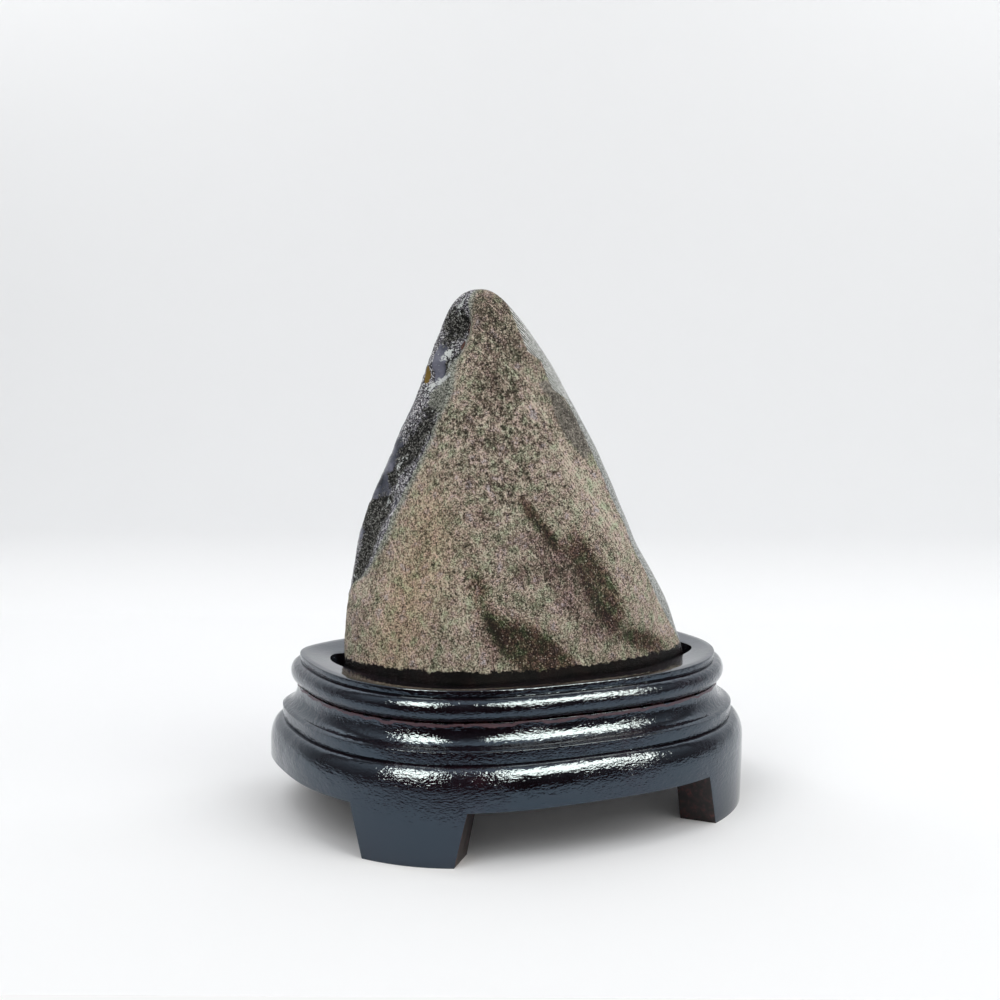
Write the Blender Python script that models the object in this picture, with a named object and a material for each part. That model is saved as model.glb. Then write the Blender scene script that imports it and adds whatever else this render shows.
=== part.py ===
# A rough amethyst section, ground on its outside, in a two-tier lacquered wood stand.
#
# The stone is a piece of geode wall, widest at its foot and rounded at its tip. Its outside
# is ground smooth; its other face has a polished rim round a hollow lined with crystals.
# It stands in a shallow recess in the stand's upper tier. The lower tier has four feet.
#
# Metres, +Z up. The origin is on the floor below the middle of the stand, whose long axis is X.
# The stone's crystals face +Y and its ground outside faces -Y.

import math
import random

import bmesh
import bpy
from mathutils import Vector, noise

MM = 0.001
JOINT_GAP = 0.3 * MM             # between pieces that touch

# ---- stand ----
HALF_LENGTH = 80.2 * MM          # apron, along X
HALF_DEPTH = 61.4 * MM           # apron, along Y
OVAL_POWER = 2.53                # 2 is an ellipse, more is squarer
LOPSIDED = 2.3 * MM              # the hand-sawn oval swells and flattens three times round
LOPSIDED_AT = 20.6               # degrees, where the first swelling is
OVAL_POINTS = 56

STAND_HEIGHT = 49.6 * MM
GLUE_LINE = 40.2 * MM            # height of the joint between the tiers
APRON_BOTTOM = 16.2 * MM         # height of the space between the feet
RECESS_DEPTH = 6.0 * MM
# Room round the stone's foot, in mm, for each way out from its middle, in degrees.
EASE_WAYS = (-90.0, -40.0, 0.0, 90.0, 150.0, 200.0, 270.0)
EASE_ROOM = (1.2, 3.5, 1.5, 2.0, 5.0, 1.5, 1.2)

TOP_EDGE_SET_BACK = 9.8 * MM     # the flat top's edge, in from the apron's face
NECK_SET_BACK = 8.9 * MM         # the narrowest place, at the glue line
LIP_SET_BACK = 4.0 * MM          # the lower tier's square lip
FILLET_HEIGHT = 2.0 * MM         # the thin step round the top
BEAD_SWELL = 2.9 * MM            # how far the half-round bead stands out
COVE_HEIGHT = 5.4 * MM
LIP_HEIGHT = 3.6 * MM
OVOLO_HEIGHT = 7.5 * MM          # the quarter-round above the apron
ARRIS = 0.4 * MM                 # softened edges

FOOT_SPANS = ((209.0, 248.3), (292.2, 331.0), (57.0, 80.0), (98.0, 123.0))   # degrees
FOOT_TAPER = 0.80                # width at the floor over width at the top
FOOT_THICKNESS = 0.17            # of the way from the outline to the middle

# ---- stone ----
STONE_FOOT = STAND_HEIGHT - RECESS_DEPTH + JOINT_GAP
STONE_HEIGHT = 127.1 * MM
FOOT_MIDDLE = (0.0, -2.0 * MM)   # middle of the section at the foot
TIP_MIDDLE = (-12.1 * MM, 7.3 * MM)
SHOULDER = 96.0 * MM             # height where the sides start to round over
DOME_POWER = 2.3
FACE_SHARPNESS = 12.0            # more gives harder edges between the faces
FACE_HEIGHTS = (0.0, 22.0, 46.0, 74.0, 102.0, 127.0)     # mm above the foot
# For each face: the way it looks (degrees from +X) and its distance in mm from the
# section's middle at each of the heights above.
STONE_FACES = (
    (-91.0, (31.5, 28.0, 24.5, 19.5, 14.5, 12.0)),        # ground outside
    (-70.0, (35.0, 34.0, 32.0, 29.0, 27.0, 25.0)),
    (-42.0, (58.0, 52.0, 40.5, 33.0, 20.0, 13.5)),        # broken shoulder
    (-2.0, (61.0, 54.5, 44.5, 32.5, 23.0, 8.0)),
    (45.0, (53.0, 46.5, 39.0, 30.5, 22.0, 14.0)),
    (140.0, (59.0, 55.0, 48.0, 33.5, 19.0, 14.0)),
    (178.0, (61.0, 58.5, 54.0, 40.5, 32.0, 19.0)),        # polished side
    (212.0, (48.0, 42.0, 35.0, 26.5, 15.5, 8.0)),
)
# Pits where crystals broke out of the polished side: the way they face in degrees, then in
# mm the height of their middle, half width, half height and depth.
STONE_PITS = (
    (193.0, 111.0, 6.0, 11.0, 2.6),
    (182.0, 97.5, 5.0, 6.0, 1.6),
    (170.0, 58.0, 7.0, 9.0, 1.8),
    (168.0, 36.0, 6.0, 9.0, 1.2),
)
CUT_AT_FOOT = 27.0 * MM          # the sawn crystal side is a plane at this Y at the foot
CUT_AT_TIP = 16.0 * MM           # and at this Y at the tip
CUT_SHARPNESS = 24.0
STONE_COLUMNS = (22, 36)         # on the sawn side, and on the rest
STONE_LEVELS = 28
SAWN_REACH = 2.1                 # half the sawn side's width over its distance from the middle
LUMP_HEIGHT = 0.7 * MM
LUMP_SIZE = 24.0 * MM

# ---- hollow and its crystals ----
RIM_WIDTH = 7.0 * MM             # polished rim left round the hollow
HOLLOW_SLOPE = 9.0 * MM          # width of the hollow's sloping wall
HOLLOW_DEPTH = 0.42              # of the distance from the sawn side to the section's middle
HOLLOW_FOOT = 12.0 * MM          # where the hollow starts, above the stone's foot
HOLLOW_TIP = 109.0 * MM          # and where it ends
HOLLOW_SIDES = (22.0, 158.0)     # degrees, towards the sawn side's two long edges
CRUST_THICKNESS = 1.8 * MM       # between the bed and the grooves between the crystals
CRUST_EDGE = 0.3                 # how far down the hollow's wall the crust starts, 0 to 1
CRUST_CORE = 8.0 * MM            # Y, inside the stone, from which the crust is trimmed
ROOT_GAP = 0.5 * MM              # between the trimmed crust and the stone
CRYSTAL_SPACING = (4.6 * MM, 9.0 * MM)
CRYSTAL_LENGTH = (2.5 * MM, 10.5 * MM)
CRYSTAL_SHOULDER = 0.74          # width of a tall crystal where its tip begins
CRYSTAL_LEAN = 1.0 * MM
CRYSTAL_PROUD = 0.8 * MM         # how far the longest tips pass the sawn side
CRYSTAL_TRIES = 4000
SEED = 7


# ---------------------------------------------------------------- helpers

def material(name, colour, roughness, transmission=0.0, coat=0.0):
    finish = bpy.data.materials.new(name)
    finish.use_nodes = True
    shader = finish.node_tree.nodes["Principled BSDF"]
    shader.inputs["Base Color"].default_value = (*colour, 1.0)
    shader.inputs["Roughness"].default_value = roughness
    shader.inputs["Metallic"].default_value = 0.0
    shader.inputs["Transmission Weight"].default_value = transmission
    shader.inputs["Coat Weight"].default_value = coat
    return finish


def add_object(name, mesh, finish, smooth_angle=None):
    mesh.materials.append(finish)
    if smooth_angle is not None:
        mesh.shade_smooth()
        mesh.set_sharp_from_angle(angle=math.radians(smooth_angle))
    piece = bpy.data.objects.new(name, mesh)
    bpy.context.scene.collection.objects.link(piece)
    return piece


def loft(name, rings):
    """Closed mesh through rings of equal length, from the bottom ring to the last one."""
    bm = bmesh.new()
    loops = [[bm.verts.new(point) for point in ring] for ring in rings]
    count = len(loops[0])
    for lower, upper in zip(loops, loops[1:]):
        for i in range(count):
            j = (i + 1) % count
            bm.faces.new((lower[i], lower[j], upper[j]))
            bm.faces.new((lower[i], upper[j], upper[i]))
    bm.faces.new(list(reversed(loops[0])))
    bm.faces.new(loops[-1])
    mesh = bpy.data.meshes.new(name)
    bm.to_mesh(mesh)
    bm.free()
    return mesh


def smooth_value(heights, values, height):
    """Smooth curve through the values, which never overshoots them."""
    if height <= heights[0]:
        return values[0]
    if height >= heights[-1]:
        return values[-1]
    steps = [(b - a) / (q - p) for p, q, a, b in zip(heights, heights[1:], values, values[1:])]

    def slope(i):
        if i == 0 or i == len(steps):
            return steps[min(i, len(steps) - 1)]
        before, after = steps[i - 1], steps[i]
        return 0.0 if before * after <= 0 else 2 * before * after / (before + after)

    i = max(k for k, h in enumerate(heights[:-1]) if h <= height)
    width = heights[i + 1] - heights[i]
    t = (height - heights[i]) / width
    start = (1 + 2 * t) * (1 - t) ** 2 * values[i] + t * (1 - t) ** 2 * width * slope(i)
    end = t * t * (3 - 2 * t) * values[i + 1] + t * t * (t - 1) * width * slope(i + 1)
    return start + end


def smooth_step(value):
    value = min(max(value, 0.0), 1.0)
    return value * value * (3 - 2 * value)


# ---------------------------------------------------------------- stand

def oval(angle, set_back=0.0):
    """Point of the stand's outline where its face looks along angle, set in by set_back."""
    power = OVAL_POWER / (OVAL_POWER - 1)
    c, s = math.cos(angle), math.sin(angle)
    along, across = abs(HALF_LENGTH * c), abs(HALF_DEPTH * s)
    reach = (along ** power + across ** power) ** (1 / power)
    x = (reach / along) ** (1 - power) * HALF_LENGTH * math.copysign(1, c) if along > 1e-9 else 0.0
    y = (reach / across) ** (1 - power) * HALF_DEPTH * math.copysign(1, s) if across > 1e-9 else 0.0
    swell = LOPSIDED * math.cos(3 * (angle - math.radians(LOPSIDED_AT)))
    turn = -3 * LOPSIDED * math.sin(3 * (angle - math.radians(LOPSIDED_AT)))
    out = swell - set_back
    middle = (LOPSIDED * math.cos(math.radians(3 * LOPSIDED_AT)),
              -LOPSIDED * math.sin(math.radians(3 * LOPSIDED_AT)))
    return x + out * c - turn * s - middle[0], y + out * s + turn * c - middle[1]


def outline_angles():
    """Even steps round the oval, the nearest ones moved onto the feet's edges."""
    angles = [360.0 * i / OVAL_POINTS for i in range(OVAL_POINTS)]
    for span in FOOT_SPANS:
        for edge in span:
            nearest = min(range(OVAL_POINTS), key=lambda i: abs(angles[i] - edge))
            angles[nearest] = edge
    return [math.radians(angle) for angle in angles]


def oval_ring(angles, set_back, height):
    return [(*oval(angle, set_back), height) for angle in angles]


def upper_profile():
    """Outer edge of the upper tier as (set back, height), from its underside up."""
    bottom = GLUE_LINE + JOINT_GAP / 2
    fillet_bottom = STAND_HEIGHT - FILLET_HEIGHT
    groove = fillet_bottom - 0.25 * MM
    bead_middle = (bottom + groove) / 2
    bead_half = (groove - bottom) / 2
    points = [(TOP_EDGE_SET_BACK - 0.4 * MM, bottom)]
    for step in range(1, 8):
        angle = math.radians(-90 + 22.5 * step)
        points.append((TOP_EDGE_SET_BACK - 0.1 * MM - BEAD_SWELL * math.cos(angle),
                       bead_middle + bead_half * math.sin(angle)))
    points += [(TOP_EDGE_SET_BACK + 0.3 * MM, groove),
               (TOP_EDGE_SET_BACK, fillet_bottom),
               (TOP_EDGE_SET_BACK, STAND_HEIGHT - ARRIS),
               (TOP_EDGE_SET_BACK + ARRIS, STAND_HEIGHT)]
    return points


def lower_profile():
    """Outer edge of the lower tier as (set back, height), from the apron's bottom up."""
    top = GLUE_LINE - JOINT_GAP / 2
    neck = top - 1.3 * MM
    lip_top = neck - COVE_HEIGHT - 0.6 * MM
    lip_bottom = lip_top - LIP_HEIGHT
    ovolo_top = lip_bottom - 0.4 * MM
    ovolo_reach = LIP_SET_BACK - 0.2 * MM
    points = [(ARRIS, APRON_BOTTOM), (0.0, APRON_BOTTOM + ARRIS)]
    for step in range(7):
        angle = math.radians(step * 88 / 6)
        points.append((ovolo_reach * (1 - math.cos(angle)),
                       ovolo_top - OVOLO_HEIGHT * (1 - math.sin(angle))))
    points += [(LIP_SET_BACK + 0.4 * MM, lip_bottom - 0.2 * MM),
               (LIP_SET_BACK, lip_bottom),
               (LIP_SET_BACK, lip_top - ARRIS),
               (LIP_SET_BACK + 0.3 * MM, lip_top)]
    cove_reach = NECK_SET_BACK - LIP_SET_BACK - 0.4 * MM
    for step in range(5):
        angle = math.radians(80 - 20 * step)
        points.append((NECK_SET_BACK - cove_reach * (1 - math.cos(angle)),
                       neck - COVE_HEIGHT * math.sin(angle)))
    points.append((NECK_SET_BACK - 0.1 * MM, top))
    return points


def recess_outline(angles):
    """The stone's foot with room round it, at the angles where the oval has its points."""
    points = []
    for angle in angles:
        x, y = oval(angle, TOP_EDGE_SET_BACK)
        way = math.atan2(y - FOOT_MIDDLE[1], x - FOOT_MIDDLE[0])
        compass = (math.degrees(way) + 90) % 360 - 90
        reach = section_radius(way, 0.0) + smooth_value(EASE_WAYS, EASE_ROOM, compass) * MM
        points.append((FOOT_MIDDLE[0] + reach * math.cos(way), FOOT_MIDDLE[1] + reach * math.sin(way)))
    return points


def build_upper_tier(angles, finish):
    rings = [oval_ring(angles, set_back, height) for set_back, height in upper_profile()]
    recess = recess_outline(angles)
    for height in (STAND_HEIGHT, STAND_HEIGHT - RECESS_DEPTH):
        rings.append([(x, y, height) for x, y in recess])
    return add_object("upper_tier", loft("upper_tier", rings), finish, smooth_angle=32)


def build_lower_tier(angles, finish):
    """The moulded tier, with each foot pulled down from the rim of its underside."""
    rings = [oval_ring(angles, set_back, height) for set_back, height in lower_profile()]
    inner = [(x * (1 - FOOT_THICKNESS), y * (1 - FOOT_THICKNESS), APRON_BOTTOM) for x, y, _ in rings[0]]
    mesh = loft("lower_tier", [inner] + rings)
    bm = bmesh.new()
    bm.from_mesh(mesh)
    bm.verts.ensure_lookup_table()
    count = len(angles)
    for span in FOOT_SPANS:
        start, end = (math.radians(edge) for edge in span)
        middle = (start + end) / 2
        inside = [i for i in range(count) if start - 1e-6 <= angles[i] < end - 1e-6]
        sole = []
        for i in inside:
            j = (i + 1) % count
            corners = {bm.verts[i], bm.verts[j], bm.verts[count + i], bm.verts[count + j]}
            sole += [face for face in bm.faces if set(face.verts) <= corners]
        place = {bm.verts[k * count + i]: (angles[i], k) for i in inside + [inside[-1] + 1] for k in (0, 1)}
        pulled = bmesh.ops.extrude_face_region(bm, geom=sole)["geom"]
        bmesh.ops.delete(bm, geom=sole, context="FACES")
        low = [v for v in pulled if isinstance(v, bmesh.types.BMVert)]
        for vert in low:
            source = min(place, key=lambda v: (v.co - vert.co).length)
            angle, on_outline = place[source]
            x, y = oval(middle + (angle - middle) * FOOT_TAPER, ARRIS)
            scale = 1.0 if on_outline else 1 - FOOT_THICKNESS
            vert.co = (x * scale, y * scale, 0.0)
        bm.verts.ensure_lookup_table()
    bmesh.ops.recalc_face_normals(bm, faces=bm.faces)
    bm.to_mesh(mesh)
    bm.free()
    return add_object("lower_tier", mesh, finish, smooth_angle=32)


# ---------------------------------------------------------------- stone

def section_middle(height):
    t = height / STONE_HEIGHT
    return tuple(a + (b - a) * t for a, b in zip(FOOT_MIDDLE, TIP_MIDDLE))


def cut_distance(height):
    """How far the sawn crystal side lies from the section's middle."""
    cut = CUT_AT_FOOT + (CUT_AT_TIP - CUT_AT_FOOT) * height / STONE_HEIGHT
    return cut - section_middle(height)[1]


def dome_width(height):
    """Share of its width that the stone keeps where its tip rounds over."""
    over = max(0.0, (height - SHOULDER) / (STONE_HEIGHT - SHOULDER))
    return max(0.0, 1 - over ** DOME_POWER) ** (1 / DOME_POWER)


def section_radius(way, height):
    """Distance from the section's middle to its edge, looking along way."""
    dome = dome_width(height)
    total = 0.0
    for looks, distances in STONE_FACES:
        facing = math.cos(way - math.radians(looks))
        if facing > 0:
            distance = smooth_value(FACE_HEIGHTS, distances, height / MM) * MM * dome
            total += (facing / max(distance, 1e-9)) ** FACE_SHARPNESS
    radius = total ** (-1 / FACE_SHARPNESS)
    if math.sin(way) > 0.02:
        cut = cut_distance(height) * dome / math.sin(way)
        radius = (radius ** -CUT_SHARPNESS + cut ** -CUT_SHARPNESS) ** (-1 / CUT_SHARPNESS)
    return radius


def lumps(way, height, point):
    """Gentle unevenness of the ground faces; the sawn side, the foot and the tip are true."""
    sawn = section_radius(way, height) * math.sin(way) / (cut_distance(height) * dome_width(height))
    fade = min(1.0, height / (10 * MM), (STONE_HEIGHT - height) / (8 * MM)) * (1 - smooth_step(4 * sawn - 3))
    return fade * LUMP_HEIGHT * noise.fractal(Vector(point) / LUMP_SIZE, 0.9, 2.1, 2)


def sawn_edges(height):
    """X of the sawn side's left and right edges, from the section's middle."""
    return [section_radius(math.radians(side), height) * math.cos(math.radians(side))
            for side in reversed(HOLLOW_SIDES)]


def hollow_amount(x, height):
    """0 on the sawn rim, 1 on the hollow's bed; x is taken from the section's middle."""
    left, right = sawn_edges(height)
    inset = min(right - x - RIM_WIDTH, x - left - RIM_WIDTH, height - HOLLOW_FOOT, HOLLOW_TIP - height)
    return smooth_step(inset / HOLLOW_SLOPE)


def sunk(x, height):
    return HOLLOW_DEPTH * cut_distance(height) * hollow_amount(x, height)


def pits(way, height, radius):
    """How deep the broken-out pits cut into the surface here."""
    depth = 0.0
    for faces, middle, half_width, half_height, deep in STONE_PITS:
        turn = way - math.radians(faces)
        if math.cos(turn) > 0:
            off = math.hypot(radius * math.sin(turn) / half_width, (height - middle * MM) / half_height)
            depth = max(depth, deep * smooth_step(1.5 * (1 - off / MM)))
    return depth * MM


def stone_point(way, height, proud=0.0):
    """Point of the stone's surface; proud moves it out of the sawn side, along +Y."""
    middle = section_middle(height)
    radius = section_radius(way, height)
    along = (math.cos(way), math.sin(way))
    z = STONE_FOOT + height
    radius += lumps(way, height, (middle[0] + radius * along[0], middle[1] + radius * along[1], z))
    radius -= pits(way, height, radius)
    lift = proud - sunk(radius * along[0], height) if along[1] > 0.2 else 0.0
    return middle[0] + radius * along[0], middle[1] + radius * along[1] + lift, z


def stone_levels():
    """Heights of the sections, closer together where the tip rounds over."""
    last = 1 - 0.25 * MM / STONE_HEIGHT
    steps = [i / (STONE_LEVELS - 1) for i in range(STONE_LEVELS)]
    return [STONE_HEIGHT * last * math.sin(step * math.pi / 2) ** 1.12 for step in steps]


def stone_ways():
    """Ways of the sections' points: evenly spread across the sawn side, then round the rest."""
    sawn, rest = STONE_COLUMNS
    across = [SAWN_REACH * (1 - 2 * i / sawn) for i in range(sawn)]
    ways = [math.atan2(1.0, x) for x in across]
    start = math.atan2(1.0, -SAWN_REACH)
    turn = 2 * math.pi - start + ways[0]
    return ways + [start + turn * i / rest for i in range(rest)]


def stone_mesh(name, proud=0.0):
    rings = [[stone_point(way, height, proud) for way in stone_ways()] for height in stone_levels()]
    return loft(name, rings)


def build_stone(finish):
    return add_object("stone", stone_mesh("stone"), finish, smooth_angle=40)


# ---------------------------------------------------------------- crystals

def crust_point(x, height, length=0.0):
    """Point over the bed at x from the section's middle; the crust sinks in at its edge."""
    middle = section_middle(height)
    edge = (hollow_amount(x, height) - CRUST_EDGE) / (1 - CRUST_EDGE)
    bed = middle[1] + cut_distance(height) * dome_width(height) - sunk(x, height)
    return Vector((middle[0] + x, bed + CRUST_THICKNESS * edge + length, STONE_FOOT + height))


def crystal_sites():
    """Middles of the crystals as (x, height, spacing), big and small ones mixed."""
    chance = random.Random(SEED)
    sites = []
    for _ in range(CRYSTAL_TRIES):
        height = chance.uniform(HOLLOW_FOOT, HOLLOW_TIP)
        x = chance.uniform(*sawn_edges(height))
        size = chance.random() ** 1.6
        apart = CRYSTAL_SPACING[0] + (CRYSTAL_SPACING[1] - CRYSTAL_SPACING[0]) * size
        if hollow_amount(x, height) < 0.1:
            continue
        if all(math.hypot(x - a, height - b) > (apart + c) / 2 for a, b, c in sites):
            sites.append((x, height, apart))
    return sites


def clip(polygon, point, outward):
    """Cuts off the part of a convex polygon that lies past a line, on its outward side."""
    kept = []
    for start, end in zip(polygon, polygon[1:] + polygon[:1]):
        ahead, behind = ((q - point).dot(outward) for q in (end, start))
        if behind <= 0:
            kept.append(start)
        if behind * ahead < 0:
            kept.append(start.lerp(end, behind / (behind - ahead)))
    return kept


def crust_outline():
    """Convex outline of the crust on the sawn side, a little way up the hollow's wall."""
    low, high = HOLLOW_FOOT + 0.5 * MM, HOLLOW_TIP - 0.5 * MM
    left, right = sawn_edges(0.0)
    outline = [Vector(corner) for corner in ((left, low), (right, low), (right, high), (left, high))]
    for step in range(1, 9):
        height = HOLLOW_FOOT + (HOLLOW_TIP - HOLLOW_FOOT) * step / 9
        for side, facing in enumerate((-1, 1)):
            here, above = (sawn_edges(h)[side] - facing * RIM_WIDTH for h in (height, height + MM))
            run = Vector((above - here, MM))
            outward = Vector((run.y, -run.x)) * facing
            outline = clip(outline, Vector((here, height)), outward)
    return outline


def crystal_cells(sites):
    """For each crystal its many-sided foot: the part of the crust that is nearest to it."""
    cells = []
    for x, height, apart in sites:
        here = Vector((x, height))
        cell = crust_outline()
        for other_x, other_height, other_apart in sites:
            gap = Vector((other_x, other_height)) - here
            if 0 < gap.length < 3 * CRYSTAL_SPACING[1]:
                share = 0.5 + (apart ** 2 - other_apart ** 2) / (8 * gap.length_squared)
                cell = clip(cell, here + gap * share, gap)
        cells.append(cell)
    return cells


def shared_corners(cells, reach=0.5 * MM):
    """The cells as lists of corner numbers, with corners closer than reach made one."""
    corners, numbered = [], []
    for cell in cells:
        numbers = []
        for point in cell:
            near = [i for i, other in enumerate(corners) if (other - point).length < reach]
            if not near:
                corners.append(point)
            number = near[0] if near else len(corners) - 1
            if number not in numbers:
                numbers.append(number)
        numbered.append(numbers)
    return corners, numbered


def crust_mesh():
    """Crystals side by side on the bed, closed by a flat back inside the stone."""
    chance = random.Random(SEED)
    sites = crystal_sites()
    corners, cells = shared_corners(crystal_cells(sites))
    bm = bmesh.new()
    feet = [bm.verts.new(crust_point(*corner)) for corner in corners]
    for (x, height, apart), cell in zip(sites, cells):
        base = crust_point(x, height)
        room = section_middle(height)[1] + cut_distance(height) * dome_width(height) - base.y
        length = chance.uniform(0.8, 1.2) * apart
        length = max(CRYSTAL_LENGTH[0], min(length, CRYSTAL_LENGTH[1], room + CRYSTAL_PROUD))
        lean = Vector((chance.gauss(0, CRYSTAL_LEAN), 0.0, chance.gauss(0, CRYSTAL_LEAN)))
        tip = bm.verts.new(base + Vector((0.0, length, 0.0)) + lean)
        ring = [feet[i] for i in cell]
        if length > 0.6 * CRYSTAL_LENGTH[1]:
            rise = Vector((0.0, 0.55 * length, 0.0)) + lean * 0.5
            upper = [bm.verts.new(base + (foot.co - base) * CRYSTAL_SHOULDER + rise) for foot in ring]
            for i, foot in enumerate(ring):
                j = (i + 1) % len(ring)
                bm.faces.new((foot, ring[j], upper[j], upper[i]))
            ring = upper
        for i, foot in enumerate(ring):
            bm.faces.new((foot, ring[(i + 1) % len(ring)], tip))
    rim = [edge for edge in bm.edges if edge.is_boundary]
    back = bmesh.ops.extrude_edge_only(bm, edges=rim)["geom"]
    for vert in back:
        if isinstance(vert, bmesh.types.BMVert):
            vert.co.y = CRUST_CORE
    bmesh.ops.contextual_create(bm, geom=[edge for edge in back if isinstance(edge, bmesh.types.BMEdge)])
    bmesh.ops.recalc_face_normals(bm, faces=bm.faces)
    mesh = bpy.data.meshes.new("crystals")
    bm.to_mesh(mesh)
    bm.free()
    return mesh


def combine(piece, other, operation):
    """Applies one Boolean of piece with the object other, which is then removed."""
    join = piece.modifiers.new("join", "BOOLEAN")
    join.operation = operation
    join.solver = "EXACT"
    join.object = other
    bpy.context.view_layer.update()
    result = bpy.data.meshes.new_from_object(piece.evaluated_get(bpy.context.evaluated_depsgraph_get()))
    piece.modifiers.remove(join)
    piece.data = result
    bpy.data.objects.remove(other)


def fill_pockets(mesh):
    """Keeps the largest shell, so no pocket is left sealed inside and no crumb beside it."""
    bm = bmesh.new()
    bm.from_mesh(mesh)
    left, shells = set(bm.verts), []
    while left:
        shell, edge_of_it = set(), [left.pop()]
        while edge_of_it:
            vert = edge_of_it.pop()
            shell.add(vert)
            near = {other for edge in vert.link_edges for other in edge.verts} & left
            left -= near
            edge_of_it += list(near)
        shells.append(shell)
    largest = max(shells, key=len)
    bmesh.ops.delete(bm, geom=[vert for vert in bm.verts if vert not in largest], context="VERTS")
    bm.to_mesh(mesh)
    bm.free()


def helper_object(mesh):
    helper = bpy.data.objects.new(mesh.name, mesh)
    bpy.context.scene.collection.objects.link(helper)
    return helper


def build_crystals(finish):
    """One crust of crystals, its back trimmed to clear the stone."""
    crust = add_object("crystals", crust_mesh(), finish)
    combine(crust, helper_object(stone_mesh("mould", ROOT_GAP)), "DIFFERENCE")
    fill_pockets(crust.data)
    crust.data.name = "crystals"
    return crust


# ---------------------------------------------------------------- build

def main():
    for old in list(bpy.data.objects):
        bpy.data.objects.remove(old)
    lacquer = material("black_brown_lacquer", (0.012, 0.007, 0.006), 0.12, coat=0.6)
    rock = material("ground_basalt", (0.22, 0.19, 0.16), 0.85)
    amethyst = material("amethyst", (0.22, 0.08, 0.42), 0.06, transmission=0.5)
    angles = outline_angles()
    build_lower_tier(angles, lacquer)
    build_upper_tier(angles, lacquer)
    build_stone(rock)
    build_crystals(amethyst)


main()
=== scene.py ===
import math

import bmesh
import bpy
import numpy as np
from mathutils import Matrix, Vector, noise


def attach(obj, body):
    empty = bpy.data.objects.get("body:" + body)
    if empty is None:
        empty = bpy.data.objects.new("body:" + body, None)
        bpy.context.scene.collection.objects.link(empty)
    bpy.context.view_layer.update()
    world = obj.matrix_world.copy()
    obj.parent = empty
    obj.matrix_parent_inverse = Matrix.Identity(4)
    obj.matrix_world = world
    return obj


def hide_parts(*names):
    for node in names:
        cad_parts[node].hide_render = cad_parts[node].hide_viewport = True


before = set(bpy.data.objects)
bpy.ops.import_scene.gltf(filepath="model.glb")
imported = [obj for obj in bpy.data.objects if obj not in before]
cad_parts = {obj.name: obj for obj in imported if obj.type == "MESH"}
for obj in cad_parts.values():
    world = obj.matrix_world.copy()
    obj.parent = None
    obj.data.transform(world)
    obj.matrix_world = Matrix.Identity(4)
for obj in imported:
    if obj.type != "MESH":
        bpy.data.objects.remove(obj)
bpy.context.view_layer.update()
print("frame loaded:", ", ".join(sorted(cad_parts)))

mm = 0.001


# sRGB hex to the linear values that shaders take
def colour(hexCode):
    channels = [int(hexCode[i:i + 2], 16) / 255 for i in (1, 3, 5)]
    return [c / 12.92 if c <= 0.04045 else ((c + 0.055) / 1.055) ** 2.4 for c in channels] + [1.0]


# sets a node's inputs; each takes a value, an output, or a node for its first output
def setInputs(node, inputs):
    for name, value in inputs.items():
        if isinstance(value, bpy.types.Node):
            value = value.outputs[0]
        if isinstance(value, bpy.types.NodeSocket):
            node.id_data.links.new(value, node.inputs[name])
        else:
            node.inputs[name].default_value = value


# adds one node with its settings, its inputs and, for a ramp, its colours by their place
def addNode(tree, kind, inputs=None, stops=None, **settings):
    made = tree.nodes.new(kind)
    for name, value in settings.items():
        setattr(made, name, value)
    setInputs(made, inputs or {})
    if stops:
        ramp = made.color_ramp
        while len(ramp.elements) < len(stops):
            ramp.elements.new(0.5)
        for element, (place, value) in zip(ramp.elements, stops.items()):
            element.position = place
            element.color = colour(value)
    return made


# adds up fields times their shares, from a start value
def addUp(tree, field, shares, start=0.0):
    for name, share in shares.items():
        start = addNode(tree, "ShaderNodeMath", {
            0: field[name], 1: share, 2: start}, operation="MULTIPLY_ADD")
    return start


def newMaterial(name):
    material = bpy.data.materials.new(name)
    material.use_nodes = True
    return material, material.node_tree.nodes["Principled BSDF"]


# a Geometry Nodes tree with its named inputs
def newTree(name, inputs):
    tree = bpy.data.node_groups.new(name, "GeometryNodeTree")
    for label, kind in inputs:
        tree.interface.new_socket(label, in_out="INPUT", socket_type="NodeSocket" + kind)
    tree.interface.new_socket("Geometry", in_out="OUTPUT", socket_type="NodeSocketGeometry")
    return tree, addNode(tree, "NodeGroupInput").outputs


def endTree(tree, source, geometry):
    whole = addNode(tree, "GeometryNodeRealizeInstances", {"Geometry": geometry})
    finished = addNode(tree, "GeometryNodeSetMaterial", {"Geometry": whole, "Material": source["Finish"]})
    addNode(tree, "NodeGroupOutput", {"Geometry": finished})
    return tree


def meshObject(name, vertices, edges, faces):
    mesh = bpy.data.meshes.new(name)
    mesh.from_pydata(vertices, edges, faces)
    made = bpy.data.objects.new(name, mesh)
    bpy.context.scene.collection.objects.link(made)
    return made


# keeps a number, or a vector, for each point of an object's mesh
def storeValues(made, name, values, kind="FLOAT", key="value"):
    attribute = made.data.attributes.new(name, kind, "POINT")
    attribute.data.foreach_set(key, np.asarray(values, np.float32).ravel())


# runs a Geometry Nodes tree on an object and keeps only the plain mesh that it gives
def runTree(carrier, tree, values):
    modifier = carrier.modifiers.new(tree.name, "NODES")
    modifier.node_group = tree
    sockets = {item.name: item.identifier for item in tree.interface.items_tree
               if item.item_type == "SOCKET" and item.in_out == "INPUT"}
    for name, value in values.items():
        modifier[sockets[name]] = value
    carrier.update_tag()
    evaluated = carrier.evaluated_get(bpy.context.evaluated_depsgraph_get())
    mesh = bpy.data.meshes.new_from_object(evaluated)
    carrier.modifiers.remove(modifier)
    return mesh


# a piece of the object that stands for CAD nodes of the one body
def placePiece(piece, slotName, *nodes):
    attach(piece, "root")
    if nodes:
        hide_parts(*nodes)


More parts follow.
